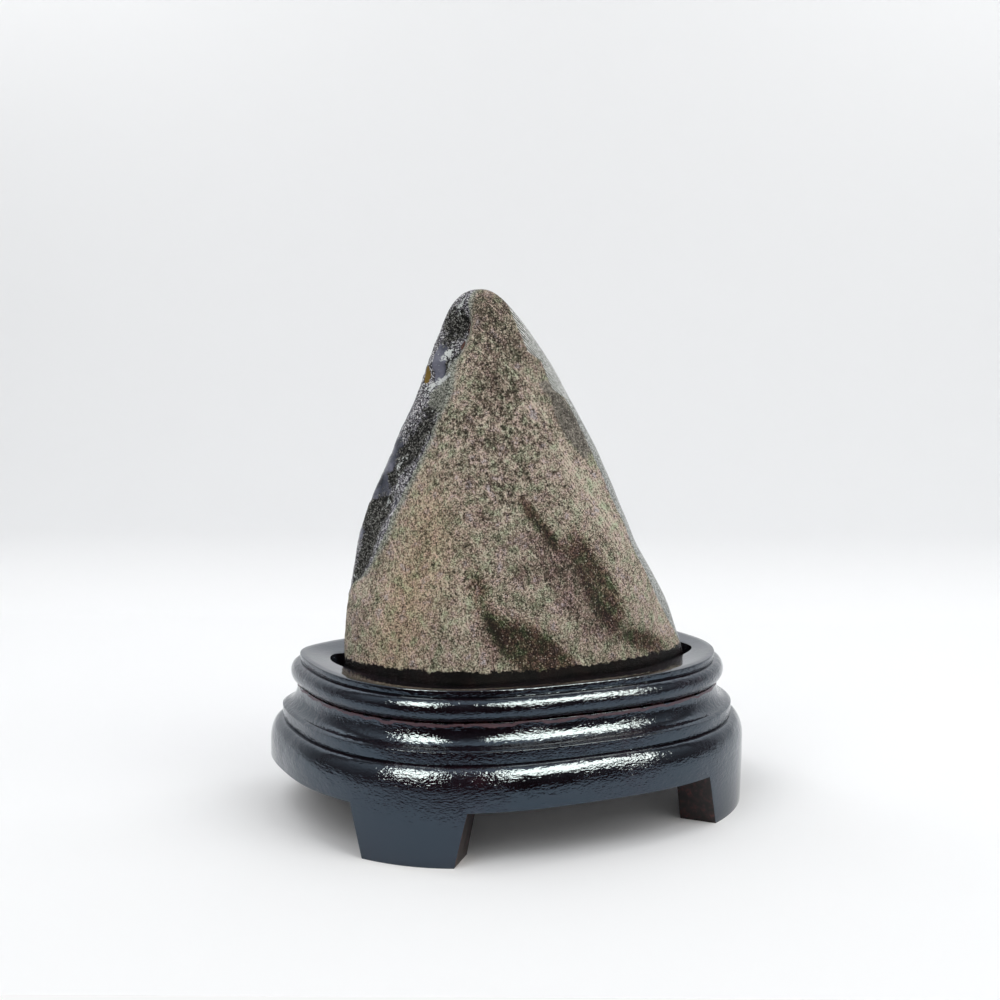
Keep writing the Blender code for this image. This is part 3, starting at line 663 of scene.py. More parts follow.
# marks on the stone: (way, height, half length, half width, tilt of the length to the right, strength)
stoneMarks = {
    "dark": ((233.9, 19.3, 7.5, 2.4, -30, 1.0), (244.8, 14.2, 9.5, 4.6, -39, 1.0),
        (259.1, 10.6, 10.7, 6.5, -49, 1.0), (262, 4.0, 12.0, 5.0, -60, 1.0),
        (265.1, 55.4, 5.6, 2.4, -32, 0.7), (276.4, 47.4, 8.9, 2.6, -34, 0.7),
        (300.1, 38.9, 9.6, 4.4, -8, 0.85), (307.0, 29.0, 11.5, 5.4, -8, 0.95),
        (309.1, 24.1, 6.9, 4.4, -16, 0.8), (326.0, 11.1, 10.3, 3.8, -68, 0.8),
        (226.5, 33.1, 7.9, 3.4, -14, 0.45)),
    "mauve": ((231.4, 16.4, 9.0, 4.1, -19, 0.9), (280.5, 36.3, 17.9, 7.8, -26, 0.9),
        (252.3, 36.3, 5.4, 4.1, -43, 0.6), (231.8, 54.0, 4.9, 3.6, 3, 0.6), (300, 20, 12, 8, -50, 0.6),
        (250, 95, 14, 5, -5, 0.5)),
    "pale": ((311.7, 67.6, 8.3, 3.7, -26, 1.0), (318.3, 58.4, 9.9, 5.7, -27, 1.0),
        (327.7, 42.5, 13.0, 6.3, -24, 0.8), (335.8, 21.7, 17.0, 7.0, -21, 0.8),
        (338.9, 11.0, 10.3, 4.9, -18, 0.9), (300, 78, 10, 4, -20, 0.4)),
    "tan": ((200.2, 49.2, 19.3, 9.7, -15, 0.8), (192.9, 30.3, 22.0, 10.8, 7, 1.0),
        (189.4, 14.7, 15.1, 10.6, 31, 0.7)),
    "smooth": ((318.7, 80.6, 11.8, 4.9, -6, 1.0), (310, 95, 8, 4, -20, 0.5)),
    # painted shade: darker patches near the tip, offsetting the light that falls on the stone's top
    "dim": ((270, 119, 9, 11, -4, 1.0), (277, 108, 8, 6, -3, 0.9), (318.7, 80.6, 12, 5, -6, 0.5),
        (262, 97, 7, 9, 0, 0.4)),
    "speckled": ((249.9, 83.9, 22.4, 17.9, -1, 1.0), (244.5, 68.1, 12.2, 21.5, -39, 1.0)),
    "scored": ((303, 84, 14, 4.5, -22, 0.9), (312, 66, 12, 5.5, -26, 1.0), (322, 50, 11, 5, -27, 0.9)),
    # on the broken side
    "pit": ((180, 115, 7.2, 4.4, -12, 0.75), (199, 87.5, 2.2, 1.3, 30, 1.0), (177, 73, 6.0, 3.6, 10, 1.0),
        (184, 82, 8.0, 4.4, 12, 0.62), (171.5, 65.2, 2.8, 2.4, 0, 1.0), (166.5, 53.5, 6.4, 4.8, 8, 1.2),
        (168, 47, 4.0, 3.0, 5, 1.0), (167, 41, 7.0, 2.8, 14, 1.0), (164, 34, 5.0, 2.0, 14, 1.0),
        (162.5, 29.5, 3.5, 1.3, 14, 1.0), (190.5, 102, 4.5, 1.3, 20, 0.9)),
    "quartz": ((176, 121.5, 3.2, 1.6, 0, 0.6), (184, 105.0, 2.6, 1.5, 0, 1.0),
        (190, 99.5, 4.0, 1.1, 14, 0.9), (187, 96.5, 5.2, 1.0, 66, 1.1), (173.5, 68.6, 3.0, 1.2, 10, 0.8),
        (175.5, 62, 3.0, 1.0, 0, 0.7), (170.5, 56.8, 2.0, 1.0, 0, 0.8), (180, 94, 3.0, 1.6, 20, 0.7),
        (161.8, 31, 2.0, 1.0, 0, 0.6)),
    "clear": ((180, 101.5, 7.8, 2.3, -14, 1.1), (168, 72, 5.6, 3.4, 10, 1.1),
        (165, 61.5, 6.0, 4.4, 10, 1.2), (162.3, 47.8, 4.4, 2.2, 8, 1.1), (176, 57, 3.0, 1.6, 8, 0.6),
        (160, 84, 10, 5, 10, 0.9)),
    "amber": ((171.5, 98.5, 4.0, 1.0, -12, 1.1),),
    "pillow": ((192.5, 91.5, 6.6, 4.2, 16, 1.1), (197.5, 101.5, 4.2, 2.0, 16, 0.8)),
    "rust": ((203.5, 113, 4.4, 1.4, -10, 1.0), (196.5, 107.6, 2.2, 1.2, 0, 0.9),
        (181, 79, 3.0, 1.6, 0, 0.5)),
}


# how much of a kind of mark there is: each mark fades out smoothly from its middle
def markField(marks, way, height, radius, fall=1.1):
    clear = np.ones_like(way)
    for faces, middle, length, width, tilt, strength in marks:
        turn = (way - math.radians(faces) + math.pi) % (2 * math.pi) - math.pi
        across, up = radius * turn, height - middle
        cosine, sine = math.cos(math.radians(tilt)), math.sin(math.radians(tilt))
        along, aside = across * sine + up * cosine, across * cosine - up * sine
        near = np.minimum(strength * np.exp(-fall * ((along / length) ** 2 + (aside / width) ** 2)), 1.0)
        clear *= 1 - near
    return 1 - clear


def stonePoints():
    s = stoneShape
    way, height = np.meshgrid(stoneWays(), stoneLevels())
    middleX, middleY = sectionMiddle(height)
    radius = sectionRadius(way, height)
    cosine, sine, degrees = np.cos(way), np.sin(way), np.degrees(way)
    base = np.stack([middleX + radius * cosine, middleY + radius * sine, s["foot"] + height], -1)
    lumps, rough, coarse = (
        noiseAt(base.reshape(-1, 3), *grain).reshape(way.shape) for grain in s["grains"])
    sawn = radius * sine / np.maximum(cutDistance(height) * domeWidth(height), 1e-6)
    ends = np.minimum(np.minimum(height / s["calmFoot"], (s["height"] - height) / s["calmTip"]), 1.0)
    # relief fades out over the last quarter of the way to the sawn face, breaks over the last sixth
    fade = ends * (1 - smoothStep(4 * sawn - 3))
    depth = np.zeros_like(radius)
    for faces, middle, halfWidth, halfHeight, deep in s["pits"]:
        turn = way - math.radians(faces)
        off = np.hypot(radius * np.sin(turn) / halfWidth, (height - middle) / halfHeight)
        pit = deep * smoothStep(s["pitEdge"] * (1 - off))
        depth = np.maximum(depth, np.where(np.cos(turn) > 0, pit, 0.0))
    fields = {name: markField(marks, way, height, radius) for name, marks in stoneMarks.items()}
    start, end = (np.interp(height, *zip(*s[border])) for border in ("rindStart", "rindEnd"))
    perDegree = radius * math.pi / 180
    rindInset = np.minimum((degrees - start) * perDegree, (end - degrees) * perDegree)
    onRind = smoothStep(rindInset / s["rindEdge"])
    broken = (1 - smoothStep(rindInset / s["brokenEdge"])) * (1 - smoothStep(6 * sawn - 5))
    broken = broken * (degrees < s["brokenTo"])
    relief = s["lumpHeight"] * fade * lumps - depth
    relief += fade * onRind * (s["rindGrain"] * rough + s["rindWaves"] * coarse - s["flute"] * fields["dark"])
    relief += broken * fade * (
        s["brokenRelief"] * rough * (1 - fields["clear"]) * (s["brokenFloor"] + fields["pit"])
        - s["pitDepth"] * fields["pit"] + s["pillowRise"] * fields["pillow"]
        + s["quartzRise"] * fields["quartz"])
    moved = radius + np.minimum(relief, s["mostRelief"])
    inset = hollowInset(radius * cosine, height)
    sunk = np.where(sine > 0.2, s["depth"] * cutDistance(height) * smoothStep(inset / s["slope"]), 0.0)
    z = s["foot"] + height - np.maximum(height - s["roundFrom"], 0.0) * s["roundBy"]
    points = np.stack([middleX + moved * cosine, middleY + moved * sine - sunk, z], -1)
    # painted shade: below this line the stone is painted near black, standing in for the shadow of the recess
    # round its foot
    foot = np.interp(degrees, *zip(*s["footShadeLine"])) - height
    fields.update(
        rindInset=rindInset, sawn=sawn, hollowInset=inset, foot=foot, east=points[..., 0], level=height)
    girth = np.stack([radius * (way - math.radians(s["girthFrom"])), height, np.zeros_like(way)], -1)
    return points, fields, girth


def makeStone(finish):
    points, fields, girth = stonePoints()
    rows, columns = points.shape[:2]
    faces = []
    for i in range(rows - 1):
        a, b = i * columns, (i + 1) * columns
        faces += [(a + j, a + (j + 1) % columns, b + (j + 1) % columns, b + j) for j in range(columns)]
    faces.append(tuple(reversed(range(columns))))
    faces.append(tuple(range((rows - 1) * columns, rows * columns)))
    piece = meshObject("stoneBody", (points.reshape(-1, 3) * mm).tolist(), [], faces)
    for name, values in fields.items():
        storeValues(piece, name, values)
    storeValues(piece, "girth", girth, "FLOAT_VECTOR", "vector")  # mm round and up the stone
    piece.data.materials.append(finish)
    piece.data.shade_smooth()
    placePiece(piece, "ground_rock", "stone")
    return piece


# what the stone's finish is mixed from, in mm
stoneFinish = {
    # noise: size, detail, roughness; marks left by grinding have a width as a share of their length
    # and a turn in degrees round the stone
    "grains": {
        "fine": (0.46, 2.0, 0.6),
        "spots": (1.6, 3.0, 0.6),
        "mottle": (3.6, 4.0, 0.6),
        "blotch": (7.5, 4.0, 0.6),
        "cloud": (20.0, 3.0, 0.5),
        "streak": (1.0, 3.0, 0.6, 0.16, 4),
        "scratch": (0.9, 2.0, 0.5, 0.06, -43),
        "fibre": (1.4, 3.0, 0.6, 0.15, -50),
        "bands": (6.0, 3.0, 0.5),
    },
    "mineralSize": 0.36,
    "hatchSpacing": 0.85, "hatchUnevenness": 1.5, "hatchTurn": -50,
    # sums of what is above and the span they are cut to: start, shares, low, high
    "fields": {
        "specks": (0.0, {"spots": 1.0, "fine": 0.5, "cloud": 0.4, "speckled": 0.12, "smooth": -0.4}, 1.06,
            1.13),
        "scratches": (-0.1, {"scratch": 1.0, "scored": 0.13, "pale": 0.04, "smooth": -0.3}, 0.54, 0.60),
        "darkPatch": (-0.85, {"dark": 1.0, "blotch": 0.8, "streak": 0.9}, 0.12, 0.72),
        "mauvePatch": (-0.5, {"mauve": 1.0, "blotch": 0.5, "mottle": 0.5}, 0.2, 0.7),
        "smoothPatch": (-0.3, {"smooth": 1.0, "mottle": 0.6}, 0.42, 0.56),
        # the dim marks here darken the upper stone as painted shade
        "lightness": (-0.86, {"mineral": 0.88, "fine": 0.40, "mottle": 0.2, "blotch": 0.5, "cloud": 0.3,
            "streak": 0.6, "speckled": 0.04, "darkPatch": -0.34, "pale": 0.12, "tan": 0.06, "dim": -0.22,
            "mauvePatch": -0.16, "specks": -0.32, "scratches": 0.3}, 0.0, 1.0),
        "glints": (0.0, {"mineral": 1.0, "fine": 0.8}, 1.29, 1.36),
        "pores": (1.4, {"mineral": -1.0, "fine": -0.8}, 0.90, 0.97),
        "edge": (-0.8, {"rindInset": 1.0, "spots": 1.0, "mottle": 0.6}, -0.2, 0.2),
        "facetSide": (0.0, {"east": 1.0}, -12.0, -8.0),
        "border": (-1.0, {"rindInset": -1.0, "mottle": 1.8, "spots": 1.4, "facetSide": -3.0}, -2.4, 0.2),
        # painted shade round the foot where it sinks into the recess, with a ragged top edge
        "footShade": (-3.0, {"foot": 1.0, "mottle": 3.5, "spots": 2.5}, -0.25, 0.35),
        "matrix": (-0.55, {"fine": 0.8, "mineral": 0.9, "spots": 0.4}, 0.15, 0.85),
        "glassPatch": (-0.3, {"clear": 1.0, "mottle": 0.6}, 0.4, 0.5),
        "pillowPatch": (-0.3, {"pillow": 1.0, "spots": 0.6}, 0.3, 0.5),
        "rustPatch": (-0.4, {"rust": 1.0, "spots": 0.8}, 0.3, 0.8),
        "amberPatch": (-0.1, {"amber": 1.0, "mottle": 0.2}, 0.5, 0.65),
        "pitted": (-1.05, {"pit": 1.0, "fine": 0.3, "spots": 0.8, "mottle": 1.1}, 0.30, 0.52),
        "quartzVein": (-1.68, {"quartz": 0.8, "mineral": 0.5, "fine": 1.0, "spots": 1.6}, 0.3, 0.42),
        "scoredFacet": (-0.92, {"hatching": 0.75, "fibre": 1.1, "mineral": 0.7}, 0.0, 1.0),
        "backSide": (0.0, {"sawn": 1.0}, 0.02, 0.25),
        "rimSide": (0.0, {"east": 1.0, "level": -0.1, "backSide": 14.0}, 3.0, 6.0),
        "sawnFace": (0.0, {"sawn": 1.0}, 0.93, 0.99),
        "agate": (-1.2, {"bands": 2.4, "hollowInset": 1.0}, -8.0, 1.0),
        "capFace": (0.0, {"sawn": 1.0, "agate": -4.0}, 0.93, 0.99),
    },
    # colours along a field
    "tones": {
        "ground": ("lightness", {0.0: "#292622", 0.25: "#555048", 0.5: "#82796e", 0.75: "#aea69a",
            1.0: "#dcd7cc"}),
        "hues": ("mottle", {0.36: "#e9f6e0", 0.45: "#faf8ec", 0.52: "#fff6ec", 0.59: "#fdeae8",
            0.68: "#eeeaf8"}),
        "darkHues": ("mottle", {0.4: "#d6ecd0", 0.5: "#ece8da", 0.6: "#f0dcd4"}),
        # olive of the smooth patch near the top: its own colour, made darker as painted shade against the
        # light from above
        "olive": ("lightness", {0.0: "#3a362f", 0.5: "#67625a", 1.0: "#a29c91"}),
        "greenLine": ("matrix", {0.0: "#484b43", 0.5: "#80837a", 1.0: "#bcbeb2"}),
        # painted shade: near black for the foot in the recess
        "underside": ("blotch", {0.45: "#030303", 0.6: "#120808"}),
        "basalt": ("matrix", {0.0: "#161516", 0.35: "#424145", 0.62: "#737177", 0.85: "#a19fa6",
            1.0: "#e2e1e2"}),
        "glass": ("blotch", {0.35: "#2f313b", 0.5: "#4d505c", 0.65: "#757684"}),
        "cushion": ("matrix", {0.0: "#3c3e38", 0.5: "#70726a", 1.0: "#a5a69c"}),
        "capRock": ("matrix", {0.0: "#252223", 0.5: "#4d4848", 1.0: "#85807e"}),
        "flank": ("matrix", {0.0: "#6d706c", 0.5: "#9b9e9a", 1.0: "#c6c8c4"}),
        "holes": ("matrix", {0.0: "#050505", 0.5: "#1e1e1d", 0.8: "#444440", 1.0: "#8d8c87"}),
        "hatch": ("scoredFacet", {0.1: "#666963", 0.4: "#a9aba5", 0.6: "#cbcdc7", 0.9: "#f6f7f3"}),
        "banding": ("agate", {0.0: "#4a4547", 0.22: "#6f6d70", 0.3: "#b9b8b4", 0.36: "#8d929c",
            0.5: "#6d7686", 0.56: "#c9cccc", 0.62: "#8a8f9d", 0.78: "#a8a4b2", 0.88: "#e2dfe2",
            1.0: "#9d8db4"}),
    },
    # coats laid over one another: how, where, tone or colour
    "rind": (("MULTIPLY", "always", "hues"), ("MULTIPLY", "tan", "#fff6e8"),
        ("MULTIPLY", "mauvePatch", "#f7eef3"), ("MULTIPLY", "darkPatch", "darkHues"),
        ("MIX", "smoothPatch", "olive"), ("MIX", "glints", "#bdb5a6"), ("MULTIPLY", "pores", "#7c756b"),
        ("MIX", "border", "greenLine")),
    "bare": (("MIX", "glassPatch", "glass"), ("MIX", "pillowPatch", "cushion"),
        ("MIX", "rustPatch", "#5a3c33"), ("MIX", "amberPatch", "#77602c"), ("MIX", "pitted", "holes"),
        ("MIX", "quartzVein", "#d2d6d4"), ("MIX", "facetSide", "hatch"), ("MIX", "rimSide", "flank"),
        ("MIX", "sawnFace", "banding"), ("MIX", "capFace", "capRock")),
    "roughness": {"rind": 0.72, "smooth": 0.48, "glassy": 0.2, "pitted": 0.75, "footShade": 0.22},
    "ior": 1.54, "sheen": 0.3,
    "bump": {"fine": 0.8, "spots": 0.45, "streak": 0.5, "specks": -0.3, "pitted": -0.8},
    "bumpStrength": 0.8, "relief": 0.42,
}


# basalt rind ground smooth but not polished: matt brown-grey, speckled and scratched; where it is
# broken or sawn away it shows dark matrix with pits and glossy banded agate
def makeStoneFinish():
    finish = stoneFinish
    material, shader = newMaterial("groundBasaltAndAgate")
    tree = material.node_tree
    metres = addNode(tree, "ShaderNodeTexCoord").outputs["Object"]
    place = addNode(tree, "ShaderNodeVectorMath", {0: metres, "Scale": 1 / mm}, operation="SCALE")
    girth = addNode(tree, "ShaderNodeAttribute", attribute_name="girth").outputs["Vector"]
    field = {name: addNode(tree, "ShaderNodeAttribute", attribute_name=name).outputs["Fac"]
             for name in list(stoneMarks) + ["rindInset", "sawn", "hollowInset", "foot", "east", "level"]}
    field["always"] = 1.0
    for name, (size, detail, roughness, *stretch) in finish["grains"].items():
        source = place
        if stretch:
            width, turn = stretch
            source = addNode(tree, "ShaderNodeMapping", {
                "Vector": girth, "Rotation": (0, 0, math.radians(turn))})
            source = addNode(tree, "ShaderNodeMapping", {"Vector": source, "Scale": (1.0, width, 1.0)})
        field[name] = addNode(tree, "ShaderNodeTexNoise", {
            "Vector": source, "Scale": 1 / size, "Detail": detail, "Roughness": roughness})
    field["mineral"] = addNode(tree, "ShaderNodeTexVoronoi", {
        "Vector": place, "Scale": 1 / finish["mineralSize"]}).outputs["Color"]
    turned = addNode(tree, "ShaderNodeMapping", {
        "Vector": girth, "Rotation": (0, 0, math.radians(finish["hatchTurn"]))})
    # a wave texture repeats every pi / 10 at scale 1
    field["hatching"] = addNode(tree, "ShaderNodeTexWave", {
        "Vector": turned, "Scale": math.pi / 10 / finish["hatchSpacing"],
        "Distortion": finish["hatchUnevenness"], "Detail": 2.0, "Detail Scale": 1.0}).outputs["Fac"]
    for name, (start, shares, low, high) in finish["fields"].items():
        field[name] = addNode(tree, "ShaderNodeMapRange", {
            "Value": addUp(tree, field, shares, start), "From Min": low, "From Max": high,
        }, interpolation_type="SMOOTHSTEP")
    tone = {name: addNode(tree, "ShaderNodeValToRGB", {"Fac": field[source]}, stops=stops)
            for name, (source, stops) in finish["tones"].items()}
    side = {}
    for name, base in (("rind", tone["ground"]), ("bare", tone["basalt"])):
        for blend, mask, over in finish[name]:
            over = colour(over) if over.startswith("#") else tone[over]
            base = addNode(tree, "ShaderNodeMix", {
                0: field[mask], 6: base, 7: over}, data_type="RGBA", blend_type=blend).outputs[2]
        side[name] = base
    tint = side["bare"]
    # the rind's colour at its edge, then the painted shade at the foot
    for mask, over in (("edge", side["rind"]), ("footShade", tone["underside"])):
        tint = addNode(tree, "ShaderNodeMix", {0: field[mask], 6: tint, 7: over}, data_type="RGBA").outputs[2]

    # gloss: the rind is matt, the broken side glassy except in its pits
    rough = finish["roughness"]
    gloss = addNode(tree, "ShaderNodeMapRange", {
        "Value": field["pitted"], "To Min": rough["glassy"], "To Max": rough["pitted"]})
    rind = addNode(tree, "ShaderNodeMapRange", {
        "Value": field["smoothPatch"], "To Min": rough["rind"], "To Max": rough["smooth"]})
    # the rind's gloss at its edge, then a glossier finish under the painted shade at the foot
    for mask, over in (("edge", rind), ("footShade", rough["footShade"])):
        gloss = addNode(tree, "ShaderNodeMix", {0: field[mask], 2: gloss, 3: over})
    bump = addNode(tree, "ShaderNodeBump", {
        "Height": addUp(tree, field, finish["bump"]), "Strength": finish["bumpStrength"],
        "Distance": finish["relief"] * mm})
    setInputs(shader, {
        "Base Color": tint, "Roughness": gloss, "Normal": bump,
        "IOR": finish["ior"], "Specular IOR Level": finish["sheen"]})
    return material


# crust of crystals in the hollow: sizes in mm
druse = {
    "bedThickness": 1.8, "bedEdge": 0.3, "backing": 3.0,
    "rows": 90, "columns": 70, "endGap": 0.3, "sideGap": 0.2,
    "grain": (2.0, 2, 3.0), "grainRise": 0.35,  # size, octaves, seed
    # name, length, spacing, scale from, scale to, lean, seed
    "sizes": (("largeCrystals", 9.5, 3.6, 0.6, 1.15, 0.38, 4), ("smallCrystals", 5.2, 1.8, 0.5, 1.2, 0.45, 9),
              ("fineCrystals", 2.8, 1.0, 0.7, 1.2, 0.4, 15)),
    "mostFeet": 3000000.0,  # per square metre, before the spacing thins them
    "shortest": 1.2,
    "slenderness": (1.1, 1.4),  # widths as a share of the wanted and of the real length
    "outward": (0.0, 0.7, 0.1),  # they grow out of the hollow more than square to its wall
    "proud": 0.6,  # tips may pass the sawn face by this much
}


def bedMesh():
    s, d = stoneShape, druse
    low, high = s["hollow"]
    heights = np.linspace(low + d["endGap"], high - d["endGap"], d["rows"])
    left, right = sideReach(heights)
    left, right = left + s["rim"] + d["sideGap"], right - s["rim"] - d["sideGap"]
    share = np.linspace(0.0, 1.0, d["columns"])
    height = np.repeat(heights[:, None], d["columns"], 1)
    x = left[:, None] + (right - left)[:, None] * share[None, :]
    middleX, middleY = sectionMiddle(height)
    amount = smoothStep(hollowInset(x, height) / s["slope"])
    face = middleY + cutDistance(height) * domeWidth(height)
    depth = s["depth"] * cutDistance(height) * amount
    rise = d["bedThickness"] * (amount - d["bedEdge"]) / (1 - d["bedEdge"])
    points = np.stack([middleX + x, face - depth + rise, s["foot"] + height], -1)
    rough = noiseAt(points.reshape(-1, 3), *d["grain"]).reshape(height.shape)
    points[..., 1] += d["grainRise"] * rough * amount
    return points, depth - rise


def makeBed(finish):
    points, reach = bedMesh()
    rows, columns = reach.shape
    faces = [(i * columns + j, (i + 1) * columns + j, (i + 1) * columns + j + 1, i * columns + j + 1)
             for i in range(rows - 1) for j in range(columns - 1)]
    bed = meshObject("crystalBed", (points.reshape(-1, 3) * mm).tolist(), [], faces)
    storeValues(bed, "reach", reach * mm)
    bed.data.materials.append(finish)
    return bed


# one quartz crystal, a unit long: six sides and an uneven six-faced point
def crystalMesh():
    radius, shoulder = 0.30, 0.58
    uneven = (0.03, -0.05, 0.04, -0.02, 0.06, -0.04)
    rings = []
    for size, level, lifts in ((1.05, -0.12, (0,) * 6), (0.94, shoulder, uneven)):
        rings += [(radius * size * math.cos(math.pi * k / 3), radius * size * math.sin(math.pi * k / 3),
                   level + lift) for k, lift in enumerate(lifts)]
    tip = (0.04, -0.02, 1.0)
    faces = [tuple(reversed(range(6)))]
    faces += [(k, (k + 1) % 6, 6 + (k + 1) % 6, 6 + k) for k in range(6)]
    faces += [(6 + k, 6 + (k + 1) % 6, 12) for k in range(6)]
    crystal = meshObject("quartzPoint", rings + [tip], [], faces)
    storeValues(crystal, "tipShare", [0.0] * 6 + [0.6] * 6 + [1.0])
    return crystal


# grows crystals on a bed: scattered feet, length kept within the hollow, leaning at random
def druseTree():
    tree, source = newTree("druse", (
        ("Geometry", "Geometry"), ("Crystal", "Object"), ("Spacing", "Float"), ("Length", "Float"),
        ("Scale From", "Float"), ("Scale To", "Float"), ("Lean", "Float"), ("Proud", "Float"),
        ("Seed", "Int"), ("Finish", "Material")))
    seed = source["Seed"]
    feet = addNode(tree, "GeometryNodeDistributePointsOnFaces", {
        "Mesh": source["Geometry"], "Distance Min": source["Spacing"], "Density Max": druse["mostFeet"],
        "Seed": seed}, distribute_method="POISSON")
    chance = addNode(tree, "FunctionNodeRandomValue", {
        2: source["Scale From"], 3: source["Scale To"], "Seed": seed}, data_type="FLOAT").outputs[1]
    wanted = addNode(tree, "ShaderNodeMath", {0: chance, 1: source["Length"]}, operation="MULTIPLY")
    reach = addNode(tree, "GeometryNodeInputNamedAttribute", {"Name": "reach"}, data_type="FLOAT")
    room = addNode(tree, "ShaderNodeMath", {0: reach, 1: source["Proud"]}, operation="ADD")
    length = addNode(tree, "ShaderNodeMath", {0: wanted, 1: room}, operation="MINIMUM")
    length = addNode(tree, "ShaderNodeMath", {0: length, 1: druse["shortest"] * mm}, operation="MAXIMUM")
    lean = addNode(tree, "FunctionNodeRandomValue", {
        0: (-1.0, -1.0, -1.0), 1: (1.0, 1.0, 1.0), "Seed": seed}, data_type="FLOAT_VECTOR")
    lean = addNode(tree, "ShaderNodeVectorMath", {0: lean, "Scale": source["Lean"]}, operation="SCALE")
    along = feet.outputs["Normal"]
    for offset in (lean, druse["outward"]):
        along = addNode(tree, "ShaderNodeVectorMath", {0: along, 1: offset}, operation="ADD")
    turned = addNode(tree, "FunctionNodeAlignRotationToVector", {"Vector": along}, axis="Z")
    spin = addNode(tree, "FunctionNodeRandomValue", {3: 2 * math.pi, "Seed": seed}, data_type="FLOAT")
    spin = addNode(tree, "ShaderNodeCombineXYZ", {"Z": spin.outputs[1]})
    turned = addNode(tree, "FunctionNodeRotateRotation", {0: turned, 1: spin}, rotation_space="LOCAL")
    widths = [addNode(tree, "ShaderNodeMath", {0: long, 1: share}, operation="MULTIPLY")
              for long, share in zip((wanted, length), druse["slenderness"])]
    width = addNode(tree, "ShaderNodeMath", {0: widths[0], 1: widths[1]}, operation="MINIMUM")
    size = addNode(tree, "ShaderNodeCombineXYZ", {"X": width, "Y": width, "Z": length})
    crystal = addNode(tree, "GeometryNodeObjectInfo", {"Object": source["Crystal"]}).outputs["Geometry"]
    grown = addNode(tree, "GeometryNodeInstanceOnPoints", {
        "Points": feet, "Instance": crystal, "Rotation": turned, "Scale": size})
    tone = addNode(tree, "FunctionNodeRandomValue", {"Seed": seed}, data_type="FLOAT").outputs[1]
    return endTree(tree, source, addNode(tree, "GeometryNodeStoreNamedAttribute", {
        "Geometry": grown, "Name": "tone", "Value": tone}, data_type="FLOAT", domain="INSTANCE"))


def makeCrystals(finish):
    bed = makeBed(finish)
    crystal = crystalMesh()
    tree = druseTree()
    pieces = []
    for name, length, spacing, scaleFrom, scaleTo, lean, seed in druse["sizes"]:
        carrier = bpy.data.objects.new(name, bed.data.copy())
        bpy.context.scene.collection.objects.link(carrier)
        carrier.data = runTree(carrier, tree, {
            "Crystal": crystal, "Spacing": spacing * mm, "Length": length * mm, "Scale From": scaleFrom,
            "Scale To": scaleTo, "Lean": lean, "Proud": druse["proud"] * mm, "Seed": seed, "Finish": finish})
        placePiece(carrier, "amethyst", "crystals")
        pieces.append(carrier)
        print(name, len(carrier.data.polygons), "faces")
    bpy.data.objects.remove(crystal)
    bm = bmesh.new()
    bm.from_mesh(bed.data)
    made = bmesh.ops.extrude_face_region(bm, geom=bm.faces[:], use_keep_orig=True)["geom"]
    verts = [part for part in made if isinstance(part, bmesh.types.BMVert)]
    bmesh.ops.translate(bm, verts=verts, vec=(0.0, -druse["backing"] * mm, 0.0))
    bpy.data.objects.remove(bed)
    pieces.append(finishMesh(bm, "crystalBed", [finish], angle=30))
    placePiece(pieces[-1], "amethyst", "crystals")
    return pieces


# amethyst: clear to cloudy purple quartz, milky at the root and deepest at the point
amethystLook = {
    "tones": {0.25: "#efe9f5", 0.5: "#ccb8e4", 0.75: "#a27ccd", 1.0: "#6b40a2"},
    "cloudSize": 2.5, "depth": {"tipShare": 0.5, "cloud": 0.35, "tone": 0.35},
    "roughness": 0.07, "ior": 1.544, "clear": 0.25, "bump": 0.15, "relief": 0.2,
}


def makeAmethyst():
    look = amethystLook
    material, shader = newMaterial("amethystQuartz")
    tree = material.node_tree
    place = addNode(tree, "ShaderNodeTexCoord").outputs["Object"]
    field = {name: addNode(tree, "ShaderNodeAttribute", attribute_name=name).outputs["Fac"]
             for name in ("tipShare", "tone")}
    field["cloud"] = addNode(tree, "ShaderNodeTexNoise", {
        "Vector": place, "Scale": 1 / (look["cloudSize"] * mm), "Detail": 3.0})
    depth = addUp(tree, field, look["depth"])
    tint = addNode(tree, "ShaderNodeValToRGB", {"Fac": depth}, stops=look["tones"])
    bump = addNode(tree, "ShaderNodeBump", {
        "Height": field["cloud"], "Strength": look["bump"], "Distance": look["relief"] * mm})
    setInputs(shader, {
        "Base Color": tint, "Roughness": look["roughness"], "IOR": look["ior"],
        "Transmission Weight": look["clear"], "Normal": bump})
    return material


